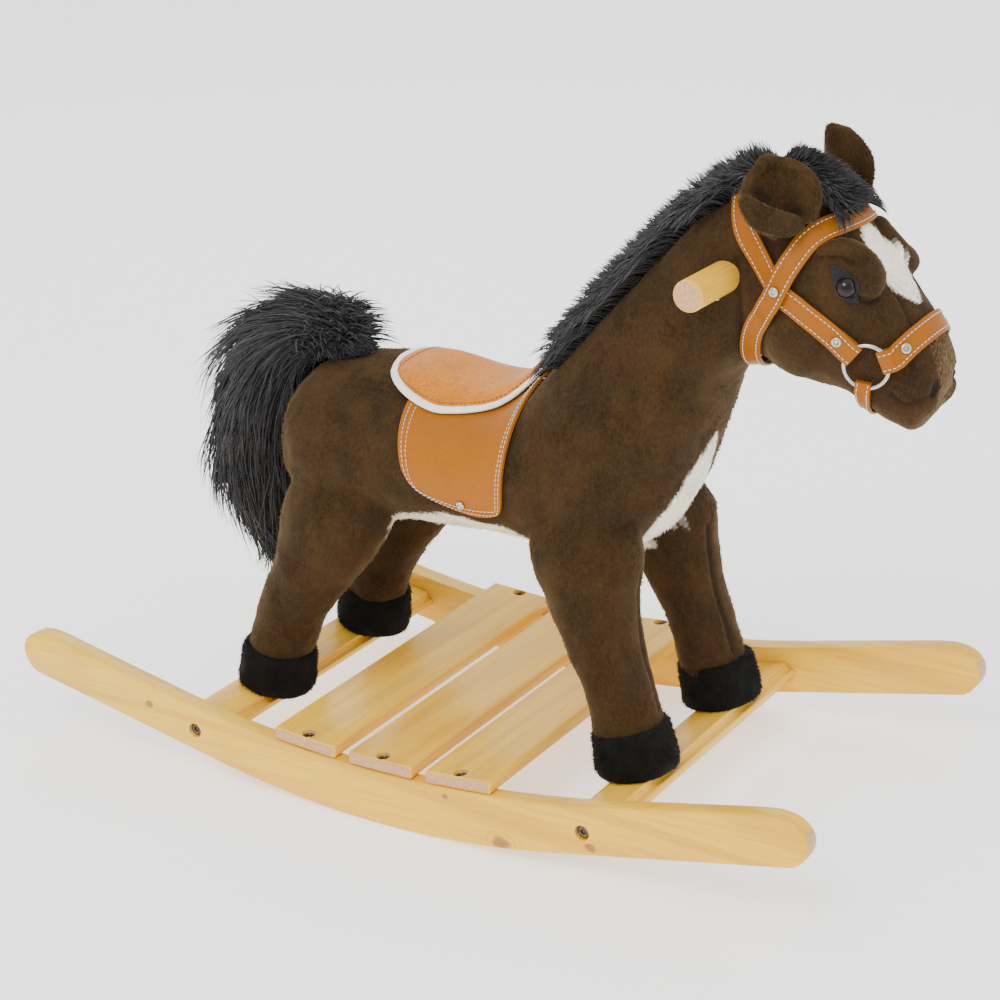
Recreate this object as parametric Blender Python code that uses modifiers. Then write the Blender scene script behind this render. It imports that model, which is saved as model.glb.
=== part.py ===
"""A plush rocking horse that stands on two wooden rockers.

Frame: +X is the way the horse faces, +Y is its left side, +Z is up, in metres.
The origin is on the floor, in the middle of the whole object's length and width.
The base is measured from the middle slat, and the horse from the top of the crossbars.
"""

import math

import bmesh
import bpy
from mathutils import Matrix, Vector
from mathutils.bvhtree import BVHTree
from mathutils.geometry import interpolate_bezier

# Clearances
FIT = 0.0004  # between hard pieces that touch
PLUSH_FIT = 0.0008  # between plush pieces that are sewn together
RUNNING = 0.0005  # between a piece that turns and what holds it
SKIN_GAP = 0.0016  # between a strap or saddle panel and the plush below it

# Rockers
BASE_WIDTH = 0.3607  # over the rockers' outer faces
ROCKER_THICKNESS = 0.0176
ROCKER_HALF_LENGTH = 0.395
HEEL_SETBACK = 0.014  # where the bottom edge meets the rounded end
SHOULDER_SETBACK = 0.043  # where the top edge starts to round off
END_FULLNESS = 0.050
ROCKER_DEPTH = 0.0488  # height of the board at the middle
RUNNER_RADIUS = 0.845  # curved part of the bottom edge
RUNNER_CURVE_HALF = 0.168  # half the length of that curved part
TOP_RADIUS = 1.072  # curved part of the top edge
TOP_CURVE_HALF = 0.221
RUNNER_FACETS = 17
TOP_FACETS = 15
EDGE_ROUND = 0.0016

# Slats
SLAT_WIDTH = 0.064
SLAT_THICKNESS = 0.012
SLAT_PITCH = 0.07835
SLAT_SETBACK = 0.0015  # slat end to the rocker's outer face

# Crossbars
CROSSBAR_X = 0.1954
CROSSBAR_WIDTH = 0.047
CROSSBAR_THICKNESS = 0.018
CROSSBAR_TOP = 0.0525  # height of the top face at its centre line
CROSSBAR_TILT = math.radians(11.2)

# Fasteners: head radius, head height, shank radius, length
SLAT_SCREW = (0.0052, 0.0032, 0.0022, 0.034)
ROCKER_BOLT = (0.0056, 0.0040, 0.0030, 0.055)
HOOF_BOLT = (0.0062, 0.0045, 0.0030, 0.050)
RECESS = 0.0020
COUNTERBORE = 0.0012

# Hooves
HOOF_X = {-1: 0.181, 1: 0.188}  # rear and front
HOOF_Y = 0.076
HOOF_HEIGHT = 0.040
HOOF_RADIUS = 0.0352
RING_POINTS = 20

# Inner wooden frame
POST_SIZE = 0.022
HIP_X = 0.115
HIP_Y = 0.040
BOARD_HALF_LENGTH = 0.148
BOARD_WIDTH = 0.108
BOARD_THICKNESS = 0.018
BOARD_HEIGHT = 0.222  # centre of the spine board above the crossbars
NECK_POST_WIDTH = 0.044
NECK_POST_THICKNESS = 0.020
NECK_POST_FOOT_X = 0.122

# Handle
HANDLE_X = 0.260
HANDLE_HEIGHT = 0.424
HANDLE_RADIUS = 0.0127
HANDLE_LENGTH = 0.222
HANDLE_CHAMFER = 0.0015

# Body sections, rump to neck: top x, top z, low x, low z, half width
BODY_SECTIONS = (
    (-0.1780, 0.250, -0.1760, 0.208, 0.026),
    (-0.1720, 0.274, -0.1740, 0.180, 0.054),
    (-0.1500, 0.290, -0.1520, 0.160, 0.075),
    (-0.1050, 0.299, -0.1080, 0.155, 0.086),
    (-0.0520, 0.293, -0.0540, 0.162, 0.086),
    (0.0000, 0.284, 0.0000, 0.167, 0.085),
    (0.0450, 0.287, 0.0550, 0.168, 0.087),
    (0.0750, 0.306, 0.1100, 0.163, 0.089),
    (0.1040, 0.340, 0.1600, 0.171, 0.086),
    (0.1340, 0.374, 0.1930, 0.202, 0.078),
    (0.1650, 0.407, 0.2140, 0.245, 0.070),
    (0.2000, 0.443, 0.2300, 0.290, 0.062),
    (0.2410, 0.479, 0.2460, 0.330, 0.056),
    (0.2920, 0.501, 0.2700, 0.351, 0.051),
)
# Head sections, in front of the neck seam, on to the lips
HEAD_SECTIONS = (
    (0.3200, 0.494, 0.3000, 0.339, 0.056),
    (0.3480, 0.469, 0.3220, 0.337, 0.055),
    (0.3700, 0.441, 0.3440, 0.333, 0.050),
    (0.3910, 0.416, 0.3620, 0.325, 0.044),
    (0.4080, 0.395, 0.3750, 0.318, 0.040),
    (0.4210, 0.371, 0.3880, 0.312, 0.037),
    (0.4235, 0.348, 0.4020, 0.310, 0.031),
    (0.4170, 0.331, 0.4110, 0.319, 0.016),
)
NOSE_REACH = 0.4240
FULLNESS = 0.90  # below 1 the sections are squarer than an ellipse
BODY_POINTS = 20

# Leg sections above the hoof, upwards: x, y, z, half length in X, half width in Y
FRONT_LEG = (
    (0.1820, 0.0740, 0.046, 0.0300, 0.0300),
    (0.1730, 0.0740, 0.072, 0.0300, 0.0310),
    (0.1610, 0.0730, 0.102, 0.0320, 0.0330),
    (0.1470, 0.0700, 0.145, 0.0400, 0.0370),
    (0.1380, 0.0620, 0.185, 0.0500, 0.0390),
    (0.1280, 0.0440, 0.230, 0.0400, 0.0260),
)
REAR_LEG = (
    (-0.1760, 0.0740, 0.046, 0.0300, 0.0290),
    (-0.1640, 0.0740, 0.068, 0.0330, 0.0310),
    (-0.1420, 0.0730, 0.105, 0.0400, 0.0340),
    (-0.1210, 0.0700, 0.140, 0.0470, 0.0380),
    (-0.1100, 0.0620, 0.180, 0.0540, 0.0390),
    (-0.1080, 0.0440, 0.225, 0.0420, 0.0260),
)

# Ears
EAR_HEIGHT = 0.057
EAR_WIDTH = 0.060
EAR_THICKNESS = 0.008
EAR_CUP = 0.012
EAR_BASE = (0.317, 0.050, 0.4685)
EAR_LEAN_OUT = math.radians(8)
EAR_LEAN_BACK = math.radians(20)
EAR_TURN = math.radians(58)

# Mane and tail
MANE_START, MANE_END = 8.0, 12.05  # counted in body sections
MANE_HALF_WIDTH = 0.020
MANE_RISE = 0.012
FORELOCK_START, FORELOCK_END = 12.9, 14.6
LOCK_HALF_WIDTH = 0.016
LOCK_RISE = 0.010
TAIL_PATH = (
    (-0.1320, 0.3040, 0.0120, 0.0140),
    (-0.1460, 0.3120, 0.0220, 0.0260),
    (-0.1740, 0.3130, 0.0300, 0.0360),
    (-0.2080, 0.2920, 0.0380, 0.0440),
    (-0.2330, 0.2480, 0.0400, 0.0460),
    (-0.2430, 0.1950, 0.0360, 0.0420),
    (-0.2380, 0.1420, 0.0270, 0.0320),
    (-0.2280, 0.0980, 0.0120, 0.0160),
)

# Saddle, in body sections and degrees down from the ridge
SEAT_FROM, SEAT_TO = 3.62, 7.80
SEAT_BACK_ANGLE, SEAT_MID_ANGLE, SEAT_FRONT_ANGLE = 4, 37, 9
SEAT_ROUND = 0.30  # share of the seat's length that its round back takes
SEAT_THICKNESS = 0.009
SEAT_EDGE = 0.0035
FLAP_THICKNESS = 0.0022
FLAP_TUCK, FLAP_LOW_ANGLE = 9, 112  # degrees under the seat, and degrees from the ridge
FLAP_TOP_FROM, FLAP_TOP_TO = 4.25, 7.35
FLAP_LOW_FROM, FLAP_LOW_TO = 4.65, 6.45

# Bridle
STRAP_WIDTH = 0.0182
STRAP_THICKNESS = 0.0022
RING_RADIUS = 0.0172  # to the middle of the wire
WIRE_RADIUS = 0.0017
RING_PLACE = (17.03, 92)  # place along the plush sections, and degrees down
RING_STANDOFF = 0.0012
CROSSING = (13.95, 88)
CHEEK_COURSE = (
    (16.05, 91.5, 0.001),
    (15.4, 91, 0),
    (14.6, 90, 0),
    (*CROSSING, 0),
    (13.1, 76, 0),
    (12.65, 52, 0),
)
CROWN_TOP = (12.42, 0, 0)
BROW_COURSE = (
    (15.0, 0, 0),
    (14.85, 24, 0),
    (14.4, 54, 0),
    (*CROSSING, 0),
    (13.35, 118, 0.001),
    (13.1, 152, 0.0035),
)
THROAT_LOW = (13.0, 180, 0.0045)
NOSE_COURSE = ((17.88, 67, 0.0015), (18.02, 47, 0), (18.12, 24, 0))
NOSE_TOP = (18.15, 0, 0)
CHIN_COURSE = ((17.22, 134, 0), (17.3, 156, 0))
CHIN_LOW = (17.32, -180, 0)  # negative: the strap passes under the chin
CHIN_WIDTH = 0.0120
LOOP_THICKNESS = 0.0064  # a strap's end, folded round the ring
LOOP_WALL = 0.0011
CROSSING_RAMP = 0.030  # how far from the crossing the brow strap starts to rise
CROWN_STEPS, NOSE_STEPS, CHIN_STEPS, BROW_STEPS, RING_STEPS = 44, 18, 8, 44, 20
CHEEK_RIVET, NOSE_RIVET = 4, 5  # strap points from its end to its rivet
RIVET_RADIUS = 0.0042
RIVET_HEIGHT = 0.0016

# Eyes
EYE_PLACE = (0.361, 0.424)
EYE_RADIUS = 0.0075

CENTRE_X = (ROCKER_HALF_LENGTH - NOSE_REACH) / 2  # puts the middle of the length at 0
SIDES = (("right", -1), ("left", 1))
COLOURS = {
    "wood": ((0.80, 0.58, 0.27), 0.35, 0.0),
    "frame_wood": ((0.66, 0.50, 0.30), 0.60, 0.0),
    "plush": ((0.060, 0.032, 0.018), 0.95, 0.0),
    "black_plush": ((0.010, 0.010, 0.010), 0.95, 0.0),
    "hair": ((0.012, 0.012, 0.013), 0.80, 0.0),
    "leather": ((0.52, 0.19, 0.050), 0.42, 0.0),
    "bronze": ((0.10, 0.075, 0.055), 0.40, 0.9),
    "steel": ((0.72, 0.71, 0.69), 0.22, 1.0),
    "eye": ((0.012, 0.010, 0.009), 0.06, 0.0),
}


# ---------------------------------------------------------------- helpers

for old in list(bpy.data.objects):
    bpy.data.objects.remove(old, do_unlink=True)

PARTS = bpy.data.collections.new("rocking_horse")
CUTTERS = bpy.data.collections.new("cutters")
for group in (PARTS, CUTTERS):
    bpy.context.scene.collection.children.link(group)
CUTTERS.hide_render = True


def new_origin(name, place, parent=None):
    """An empty that the pieces of one assembly are parented to."""
    origin = bpy.data.objects.new(name, None)
    origin.location = place
    origin.parent = parent
    PARTS.objects.link(origin)
    return origin


# The middle facet of each runner lies on the floor
RUNNER_FLAT_HALF = RUNNER_CURVE_HALF / RUNNER_FACETS
RUNNER_SINK = RUNNER_RADIUS - math.sqrt(RUNNER_RADIUS**2 - RUNNER_FLAT_HALF**2)
BASE = new_origin("base_origin", (CENTRE_X, 0, -RUNNER_SINK))
HORSE = new_origin("horse_origin", (0, 0, CROSSBAR_TOP), BASE)


def finish_for(name, colour_name):
    """Each sub-part has its own material, in one of the shared colours."""
    colour, roughness, metallic = COLOURS[colour_name]
    material = bpy.data.materials.new(name)
    material.use_nodes = True
    shader = material.node_tree.nodes["Principled BSDF"]
    shader.inputs["Base Color"].default_value = (*colour, 1)
    shader.inputs["Roughness"].default_value = roughness
    shader.inputs["Metallic"].default_value = metallic
    return material


def place(mesh, name, colour_name, origin, smooth=False):
    """Make a sub-part from a mesh, or a cutter when it has no colour."""
    piece = bpy.data.objects.new(name, mesh)
    piece.parent = origin
    if colour_name:
        PARTS.objects.link(piece)
        mesh.materials.append(finish_for(name, colour_name))
    else:
        CUTTERS.objects.link(piece)
        piece.hide_render = True
        piece.display_type = "WIRE"
    if smooth:
        mesh.shade_smooth()
        mesh.set_sharp_from_angle(angle=math.radians(45))
    return piece


def mesh_from(shape, name):
    bmesh.ops.recalc_face_normals(shape, faces=shape.faces)
    mesh = bpy.data.meshes.new(name)
    shape.to_mesh(mesh)
    shape.free()
    return mesh


def cut(piece, *cutters):
    for cutter in cutters:
        boolean = piece.modifiers.new("cut", "BOOLEAN")
        boolean.operation = "DIFFERENCE"
        boolean.solver = "EXACT"
        boolean.object = cutter


def box_mesh(name, size, moved=None, edge_round=0.0):
    """A box about the origin. moved maps each corner to its final place."""
    shape = bmesh.new()
    bmesh.ops.create_cube(shape, size=1)
    for corner in shape.verts:
        corner.co = Vector(c * s for c, s in zip(corner.co, size))
        if moved:
            corner.co = moved(corner.co)
    if edge_round:
        bmesh.ops.bevel(
            shape, geom=list(shape.edges), offset=edge_round, segments=1, affect="EDGES"
        )
    return mesh_from(shape, name)


def turned_mesh(name, profile, sides=14):
    """A solid turned about Z, from an outline of radii and heights, top to bottom."""
    shape = bmesh.new()
    rings = []
    for radius, height in profile:
        ring = []
        for step in range(sides):
            angle = 2 * math.pi * step / sides
            corner = (radius * math.cos(angle), radius * math.sin(angle), height)
            ring.append(shape.verts.new(corner))
        rings.append(ring)
    close_rings(shape, rings)
    return mesh_from(shape, name)


def close_rings(shape, rings, closed=False):
    """Skin a row of rings with quads, and cap both ends or join them."""
    count = len(rings[0])
    pairs = list(zip(rings, rings[1:]))
    if closed:
        pairs.append((rings[-1], rings[0]))
    for first, second in pairs:
        for step in range(count):
            after = (step + 1) % count
            quad = (first[step], first[after], second[after], second[step])
            shape.faces.new(quad)
    if not closed:
        shape.faces.new(rings[0])
        shape.faces.new(reversed(rings[-1]))


def loft_mesh(name, rings, closed=False):
    shape = bmesh.new()
    made = [[shape.verts.new(point) for point in ring] for ring in rings]
    close_rings(shape, made, closed)
    return mesh_from(shape, name)


def along(points, where):
    """A Catmull-Rom curve through rows of numbers, at where from 0 to 1."""
    last = len(points) - 1
    position = min(max(where, 0.0), 1.0) * last
    index = min(int(position), last - 1)
    t = position - index
    rows = [points[min(max(index + k, 0), last)] for k in (-1, 0, 1, 2)]
    weights = (
        (-t + 2 * t**2 - t**3) / 2,
        (2 - 5 * t**2 + 3 * t**3) / 2,
        (t + 4 * t**2 - 3 * t**3) / 2,
        (-(t**2) + t**3) / 2,
    )
    return [sum(w * v for w, v in zip(weights, column)) for column in zip(*rows)]


def section_point(section, angle, lift=0.0):
    """A point on a plush section: angle 0 is its top, and lift grows it outwards."""
    top_x, top_z, low_x, low_z, half_width = section
    middle = Vector(((top_x + low_x) / 2, 0, (top_z + low_z) / 2))
    up = Vector((top_x - low_x, 0, top_z - low_z)) / 2
    half_height = up.length
    up.normalize()
    rise, side = math.cos(angle), math.sin(angle)
    rise = math.copysign(abs(rise) ** FULLNESS, rise)
    side = math.copysign(abs(side) ** FULLNESS, side)
    return middle + up * rise * (half_height + lift) + Vector((0, side * (half_width + lift), 0))


def coat_section(place):
    """The plush section at a place, counted in sections from the rump."""
    return along(COAT_SECTIONS, place / LIPS)


def plush_rings(first, last, lift=0.0):
    """Two rings of points for each section of the plush from first to last."""
    rings = []
    steps = (last - first) * 2
    for step in range(steps + 1):
        section = coat_section(first + step / 2)
        angles = [2 * math.pi * k / BODY_POINTS for k in range(BODY_POINTS)]
        rings.append([section_point(section, angle, lift) for angle in angles])
    return rings


def fastener_profile(sizes, grow=0.0, above=0.0, recess=RECESS):
    """Outline of a countersunk fastener whose head lies a recess below the face."""
    head, head_height, shank, length = sizes
    top = above if grow else -recess
    bore = head + (COUNTERBORE if grow else 0)
    return (
        (bore, top),
        (bore, -recess - head_height / 2),
        (shank + grow, -recess - head_height - grow),
        (shank + grow, -recess - length + shank),
        ((shank + grow) / 2, -recess - length - grow),
    )


def put_fastener(name, sizes, spot, direction, origin, holed, colour="bronze"):
    """A screw or bolt driven in at spot, and the hole it makes in the pieces it holds."""
    turn = Vector((0, 0, 1)).rotation_difference(Vector(direction)).to_matrix().to_4x4()
    matrix = Matrix.Translation(spot) @ turn
    screw = place(turned_mesh(name, fastener_profile(sizes), 10), name, colour, origin)
    hole_profile = fastener_profile(sizes, FIT, above=0.004)
    hole = place(turned_mesh(name + "_hole", hole_profile, 10), name + "_hole", None, origin)
    screw.matrix_local = matrix
    hole.matrix_local = matrix
    for piece in holed:
        cut(piece, hole)


# ---------------------------------------------------------------- rockers

RUNNER_SLOPE = math.asin(RUNNER_CURVE_HALF / RUNNER_RADIUS)
TOP_SLOPE = math.asin(TOP_CURVE_HALF / TOP_RADIUS)


def edge_height(x, radius, curve_half, slope):
    """Height of an edge above its middle: an arc, then straight on at its slope."""
    reach = abs(x)
    if reach <= curve_half:
        return radius - math.sqrt(radius**2 - reach**2)
    arc = radius - math.sqrt(radius**2 - curve_half**2)
    return arc + (reach - curve_half) * math.tan(slope)


def runner_height(x):
    return edge_height(x, RUNNER_RADIUS, RUNNER_CURVE_HALF, RUNNER_SLOPE)


def rocker_top(x):
    return ROCKER_DEPTH + edge_height(x, TOP_RADIUS, TOP_CURVE_HALF, TOP_SLOPE)


def rocker_outline():
    """Half outline points at +X are mirrored to -X: runner, rounded end, top edge."""
    runner = [
        (RUNNER_CURVE_HALF * (2 * k + 1) / RUNNER_FACETS) for k in range(RUNNER_FACETS // 2 + 1)
    ]
    low = [(x, runner_height(x)) for x in runner]
    heel_x = ROCKER_HALF_LENGTH - HEEL_SETBACK
    heel = Vector((heel_x, runner_height(heel_x)))
    shoulder_x = ROCKER_HALF_LENGTH - SHOULDER_SETBACK
    shoulder = Vector((shoulder_x, rocker_top(shoulder_x)))
    slope = Vector((math.cos(TOP_SLOPE), math.sin(TOP_SLOPE)))
    pull = heel + Vector((END_FULLNESS * 0.45, END_FULLNESS * 0.22))
    end = interpolate_bezier(heel, pull, shoulder + slope * END_FULLNESS, shoulder, 11)
    top_half = [TOP_CURVE_HALF * 2 * k / (TOP_FACETS - 1) for k in range(TOP_FACETS // 2, -1, -1)]
    top = [(x, rocker_top(x)) for x in top_half]
    right = low + [tuple(point) for point in end] + top
    left = [(-x, z) for x, z in reversed(right[:-1])]
    return right + left


def rocker_mesh(name):
    """The flat outline, extruded to the board's thickness."""
    curve = bpy.data.curves.new(name, "CURVE")
    curve.dimensions = "2D"
    curve.fill_mode = "BOTH"
    curve.extrude = ROCKER_THICKNESS / 2
    outline = rocker_outline()
    spline = curve.splines.new("POLY")
    spline.points.add(len(outline) - 1)
    for point, (x, z) in zip(spline.points, outline):
        point.co = (x, z, 0, 1)
    spline.use_cyclic_u = True
    guide = bpy.data.objects.new(name + "_outline", curve)
    bpy.context.scene.collection.objects.link(guide)
    graph = bpy.context.evaluated_depsgraph_get()
    flat = bpy.data.meshes.new_from_object(guide.evaluated_get(graph))
    bpy.data.objects.remove(guide)
    shape = bmesh.new()
    shape.from_mesh(flat)
    bmesh.ops.remove_doubles(shape, verts=shape.verts, dist=0.00001)
    shape.transform(Matrix.Rotation(math.pi / 2, 4, "X"))
    return mesh_from(shape, name)


rocker_y = BASE_WIDTH / 2 - ROCKER_THICKNESS / 2
rockers = {}
for side_name, side in SIDES:
    rocker_name = "rocker_" + side_name
    rocker = place(rocker_mesh(rocker_name), rocker_name, "wood", BASE)
    rocker.location.y = side * rocker_y
    rockers[side_name] = rocker


# ---------------------------------------------------------------- slats

slat_length = BASE_WIDTH - 2 * SLAT_SETBACK
for slat_name, index in (("slat_rear", -1), ("slat_middle", 0), ("slat_front", 1)):
    slat_x = index * SLAT_PITCH
    lean = math.asin(slat_x / TOP_RADIUS)
    sag = (SLAT_WIDTH / 2) ** 2 / (2 * TOP_RADIUS)
    size = (SLAT_WIDTH, slat_length, SLAT_THICKNESS)
    slat = place(box_mesh(slat_name, size, edge_round=EDGE_ROUND), slat_name, "wood", BASE)
    normal = Vector((-math.sin(lean), 0, math.cos(lean)))
    seat = Vector((slat_x, 0, rocker_top(slat_x) + sag + FIT))
    slat.location = seat + normal * SLAT_THICKNESS / 2
    slat.rotation_euler.y = -lean
    for side_name, side in SIDES:
        spot = seat + normal * SLAT_THICKNESS + Vector((0, side * rocker_y, 0))
        holed = (slat, rockers[side_name])
        put_fastener(slat_name + "_screw_" + side_name, SLAT_SCREW, spot, normal, BASE, holed)


# ---------------------------------------------------------------- crossbars

crossbar_length = BASE_WIDTH - 2 * ROCKER_THICKNESS - 2 * FIT
crossbars = {}


def deck(x):
    """Height of a crossbar's top face above its centre line, in the horse's frame."""
    return (abs(x) - CROSSBAR_X) * math.tan(CROSSBAR_TILT)


def crossbar_mesh(name):
    """A board whose two long edges are rounded over."""
    shape = bmesh.new()
    bmesh.ops.create_cube(shape, size=1)
    size = (CROSSBAR_WIDTH, crossbar_length, CROSSBAR_THICKNESS)
    bmesh.ops.scale(shape, vec=size, verts=shape.verts)
    long_edges = [e for e in shape.edges if abs(e.verts[0].co.y - e.verts[1].co.y) > 0.1]
    rounding = CROSSBAR_THICKNESS * 0.36
    bmesh.ops.bevel(shape, geom=long_edges, offset=rounding, segments=3, affect="EDGES")
    return mesh_from(shape, name)


for bar_name, front in (("crossbar_rear", -1), ("crossbar_front", 1)):
    bar = place(crossbar_mesh(bar_name), bar_name, "wood", BASE)
    bar.rotation_euler.y = -front * CROSSBAR_TILT
    up = Vector((-front * math.sin(CROSSBAR_TILT), 0, math.cos(CROSSBAR_TILT)))
    top_centre = Vector((front * CROSSBAR_X, 0, CROSSBAR_TOP))
    bar.location = top_centre - up * CROSSBAR_THICKNESS / 2
    crossbars[front] = bar
    for side_name, side in SIDES:
        spot = bar.location + Vector((0, side * BASE_WIDTH / 2, 0))
        bolt_name = "rocker_bolt_" + bar_name[9:] + "_" + side_name
        holed = (rockers[side_name], bar)
        put_fastener(bolt_name, ROCKER_BOLT, spot, (0, side, 0), BASE, holed)


# ---------------------------------------------------------------- inner wooden frame

board_under = BOARD_HEIGHT - BOARD_THICKNESS / 2
board_size = (2 * BOARD_HALF_LENGTH, BOARD_WIDTH, BOARD_THICKNESS)


def grown(size, amount):
    return tuple(length + 2 * amount for length in size)


spine = place(box_mesh("spine_board", board_size), "spine_board", "frame_wood", HORSE)
spine.location.z = BOARD_HEIGHT
spine_room = place(box_mesh("spine_room", grown(board_size, FIT)), "spine_room", None, HORSE)
spine_room.location.z = BOARD_HEIGHT


def leaning_post(name, foot, head, size, thickness, grow=0.0, overrun=0.0):
    """A post whose ends lie on the crossbar and under the board, or past them."""
    direction = (head - foot).normalized()
    low = foot - direction * overrun
    high = head + direction * overrun

    def moved(corner):
        end = high if corner.z > 0 else low
        x = end.x + math.copysign(size / 2 + grow, corner.x)
        y = end.y + math.copysign(thickness / 2 + grow, corner.y)
        z = end.z
        if end is low and foot.z < board_under / 2:
            z += (abs(x) - abs(end.x)) * math.tan(CROSSBAR_TILT)
        return Vector((x, y, z))

    return box_mesh(name, (1, 1, 1), moved)


posts, post_rooms = {}, {}
for end_name, front in (("rear", -1), ("front", 1)):
    for side_name, side in SIDES:
        key = end_name + "_" + side_name
        foot_x = front * HOOF_X[front]
        foot = Vector((foot_x, side * HOOF_Y, deck(foot_x) + FIT))
        head = Vector((front * HIP_X, side * HIP_Y, board_under - FIT))
        name = "leg_post_" + key
        mesh = leaning_post(name, foot, head, POST_SIZE, POST_SIZE)
        posts[key] = place(mesh, name, "frame_wood", HORSE)
        mesh = leaning_post(name + "_room", foot, head, POST_SIZE, POST_SIZE, FIT, 0.004)
        post_rooms[key] = place(mesh, name + "_room", None, HORSE)
        bolt_up = Vector((front * math.sin(CROSSBAR_TILT), 0, -math.cos(CROSSBAR_TILT)))
        under = Vector((foot_x, side * HOOF_Y, deck(foot_x)))
        under += bolt_up * CROSSBAR_THICKNESS + Vector((0, 0, CROSSBAR_TOP))
        holed = (crossbars[front], posts[key])
        put_fastener("hoof_bolt_" + key, HOOF_BOLT, under, bolt_up, BASE, holed, "steel")

handle_spot = Vector((HANDLE_X, 0, HANDLE_HEIGHT))
neck_foot = Vector((NECK_POST_FOOT_X, 0, BOARD_HEIGHT + BOARD_THICKNESS / 2 + FIT))
neck_head = handle_spot + (handle_spot - neck_foot).normalized() * (HANDLE_RADIUS + 0.008)
neck_sizes = (NECK_POST_WIDTH, NECK_POST_THICKNESS)
neck_mesh = leaning_post("neck_post", neck_foot, neck_head, *neck_sizes)
neck_post = place(neck_mesh, "neck_post", "frame_wood", HORSE)
neck_mesh = leaning_post("neck_room", neck_foot, neck_head, *neck_sizes, FIT, 0.002)
neck_room = place(neck_mesh, "neck_room", None, HORSE)


# ---------------------------------------------------------------- handle

def dowel_mesh(name, radius, half_length, chamfer, sides=24):
    profile = (
        (radius - chamfer, half_length),
        (radius, half_length - chamfer),
        (radius, chamfer - half_length),
        (radius - chamfer, -half_length),
    )
    return turned_mesh(name, profile, sides)


dowel_mesh_made = dowel_mesh("handle_dowel", HANDLE_RADIUS, HANDLE_LENGTH / 2, HANDLE_CHAMFER)
handle = place(dowel_mesh_made, "handle_dowel", "wood", HORSE, smooth=True)
room_mesh = dowel_mesh("handle_room", HANDLE_RADIUS + FIT, HANDLE_LENGTH / 2 + FIT, 0.0001)
handle_room = place(room_mesh, "handle_room", None, HORSE)
for piece in (handle, handle_room):
    piece.location = handle_spot
    piece.rotation_euler.x = math.pi / 2
cut(neck_post, handle_room)


# ---------------------------------------------------------------- plush body and head

COAT_SECTIONS = BODY_SECTIONS + HEAD_SECTIONS
SEAM = len(BODY_SECTIONS) - 1  # the neck seam's place in the row of sections
LIPS = len(COAT_SECTIONS) - 1


def body_rings(lift=0.0):
    return plush_rings(0, SEAM, lift)


def head_rings(lift=0.0):
    """The head starts a clearance in front of the neck seam."""
    rings = plush_rings(SEAM, LIPS, lift)
    if lift == 0.0:
        rings[0] = [point + Vector((FIT, 0, 0)) for point in rings[0]]
    return rings


body_mesh = loft_mesh("body", body_rings())
body = place(body_mesh, "body", "plush", HORSE, smooth=True)
head_mesh = loft_mesh("head", head_rings())
head = place(head_mesh, "head", "plush", HORSE, smooth=True)
body_room = place(
    loft_mesh("body_room", body_rings(PLUSH_FIT)), "body_room", None, HORSE
)
head_room = place(loft_mesh("head_room", head_rings(PLUSH_FIT)), "head_room", None, HORSE)
cut(body, spine_room, neck_room, handle_room)
cut(head, neck_room)


def surface_tree(*ring_sets):
    """A search tree of plush surfaces, to lay straps and trim on them."""
    points, faces = [], []
    for rings in ring_sets:
        start, count = len(points), len(rings[0])
        points += [point for ring in rings for point in ring]
        for row in range(len(rings) - 1):
            for step in range(count):
                a = start + row * count + step
                b = start + row * count + (step + 1) % count
                faces.append((a, b, b + count, a + count))
    return BVHTree.FromPolygons(points, faces)


SKIN = surface_tree(head_rings())


def side_spot(x, z, side):
    """Where a line across the horse at x and z meets its head, and the normal there."""
    spot, normal, _, _ = SKIN.ray_cast(Vector((x, side * 0.2, z)), Vector((0, -side, 0)))
    return spot, (normal if normal.y * side > 0 else -normal)


# ---------------------------------------------------------------- legs and hooves

def hoof_rings(middle_x):
    """Heights above the crossbar and radii, for a cuff that bulges a little."""
    rows = ((FIT, 0.93), (0.004, 0.99), (0.018, 1.0), (HOOF_HEIGHT - 0.006, 0.97), (HOOF_HEIGHT, 0.86))
    rings = []
    for height, share in rows:
        ring = []
        for step in range(RING_POINTS):
            angle = 2 * math.pi * step / RING_POINTS
            x = middle_x + HOOF_RADIUS * share * math.cos(angle)
            y = HOOF_Y + HOOF_RADIUS * share * math.sin(angle)
            ring.append(Vector((x, y, deck(x) + height)))
        rings.append(ring)
    return rings


def leg_rings(sections):
    rings = []
    steps = 10
    foot_x = abs(sections[0][0])
    for step in range(steps + 1):
        x0, y0, z0, half_x, half_y = along(sections, step / steps)
        ring = []
        for point in range(RING_POINTS):
            angle = 2 * math.pi * point / RING_POINTS
            x = x0 + half_x * math.cos(angle)
            y = y0 + half_y * math.sin(angle)
            z = z0
            if step == 0:
                z = deck(x) + HOOF_HEIGHT + FIT
            elif step == 1:
                z = z0 + deck(x) - deck(foot_x)
            ring.append(Vector((x, y, z)))
        rings.append(ring)
    return rings


def mirrored(rings, front, side):
    return [[Vector((p.x * front, p.y * side, p.z)) for p in ring] for ring in rings]


for end_name, front, sections in (("rear", -1, REAR_LEG), ("front", 1, FRONT_LEG)):
    for side_name, side in SIDES:
        key = end_name + "_" + side_name
        hoof_mesh = loft_mesh("hoof_" + key, mirrored(hoof_rings(HOOF_X[front]), front, side))
        hoof = place(hoof_mesh, "hoof_" + key, "black_plush", HORSE, smooth=True)
        leg_mesh = loft_mesh("leg_" + key, mirrored(leg_rings(sections), 1, side))
        leg = place(leg_mesh, "leg_" + key, "plush", HORSE, smooth=True)
        cut(hoof, post_rooms[key])
        cut(leg, body_room, post_rooms[key])
        cut(body, post_rooms[key])


# ---------------------------------------------------------------- eyes

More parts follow.
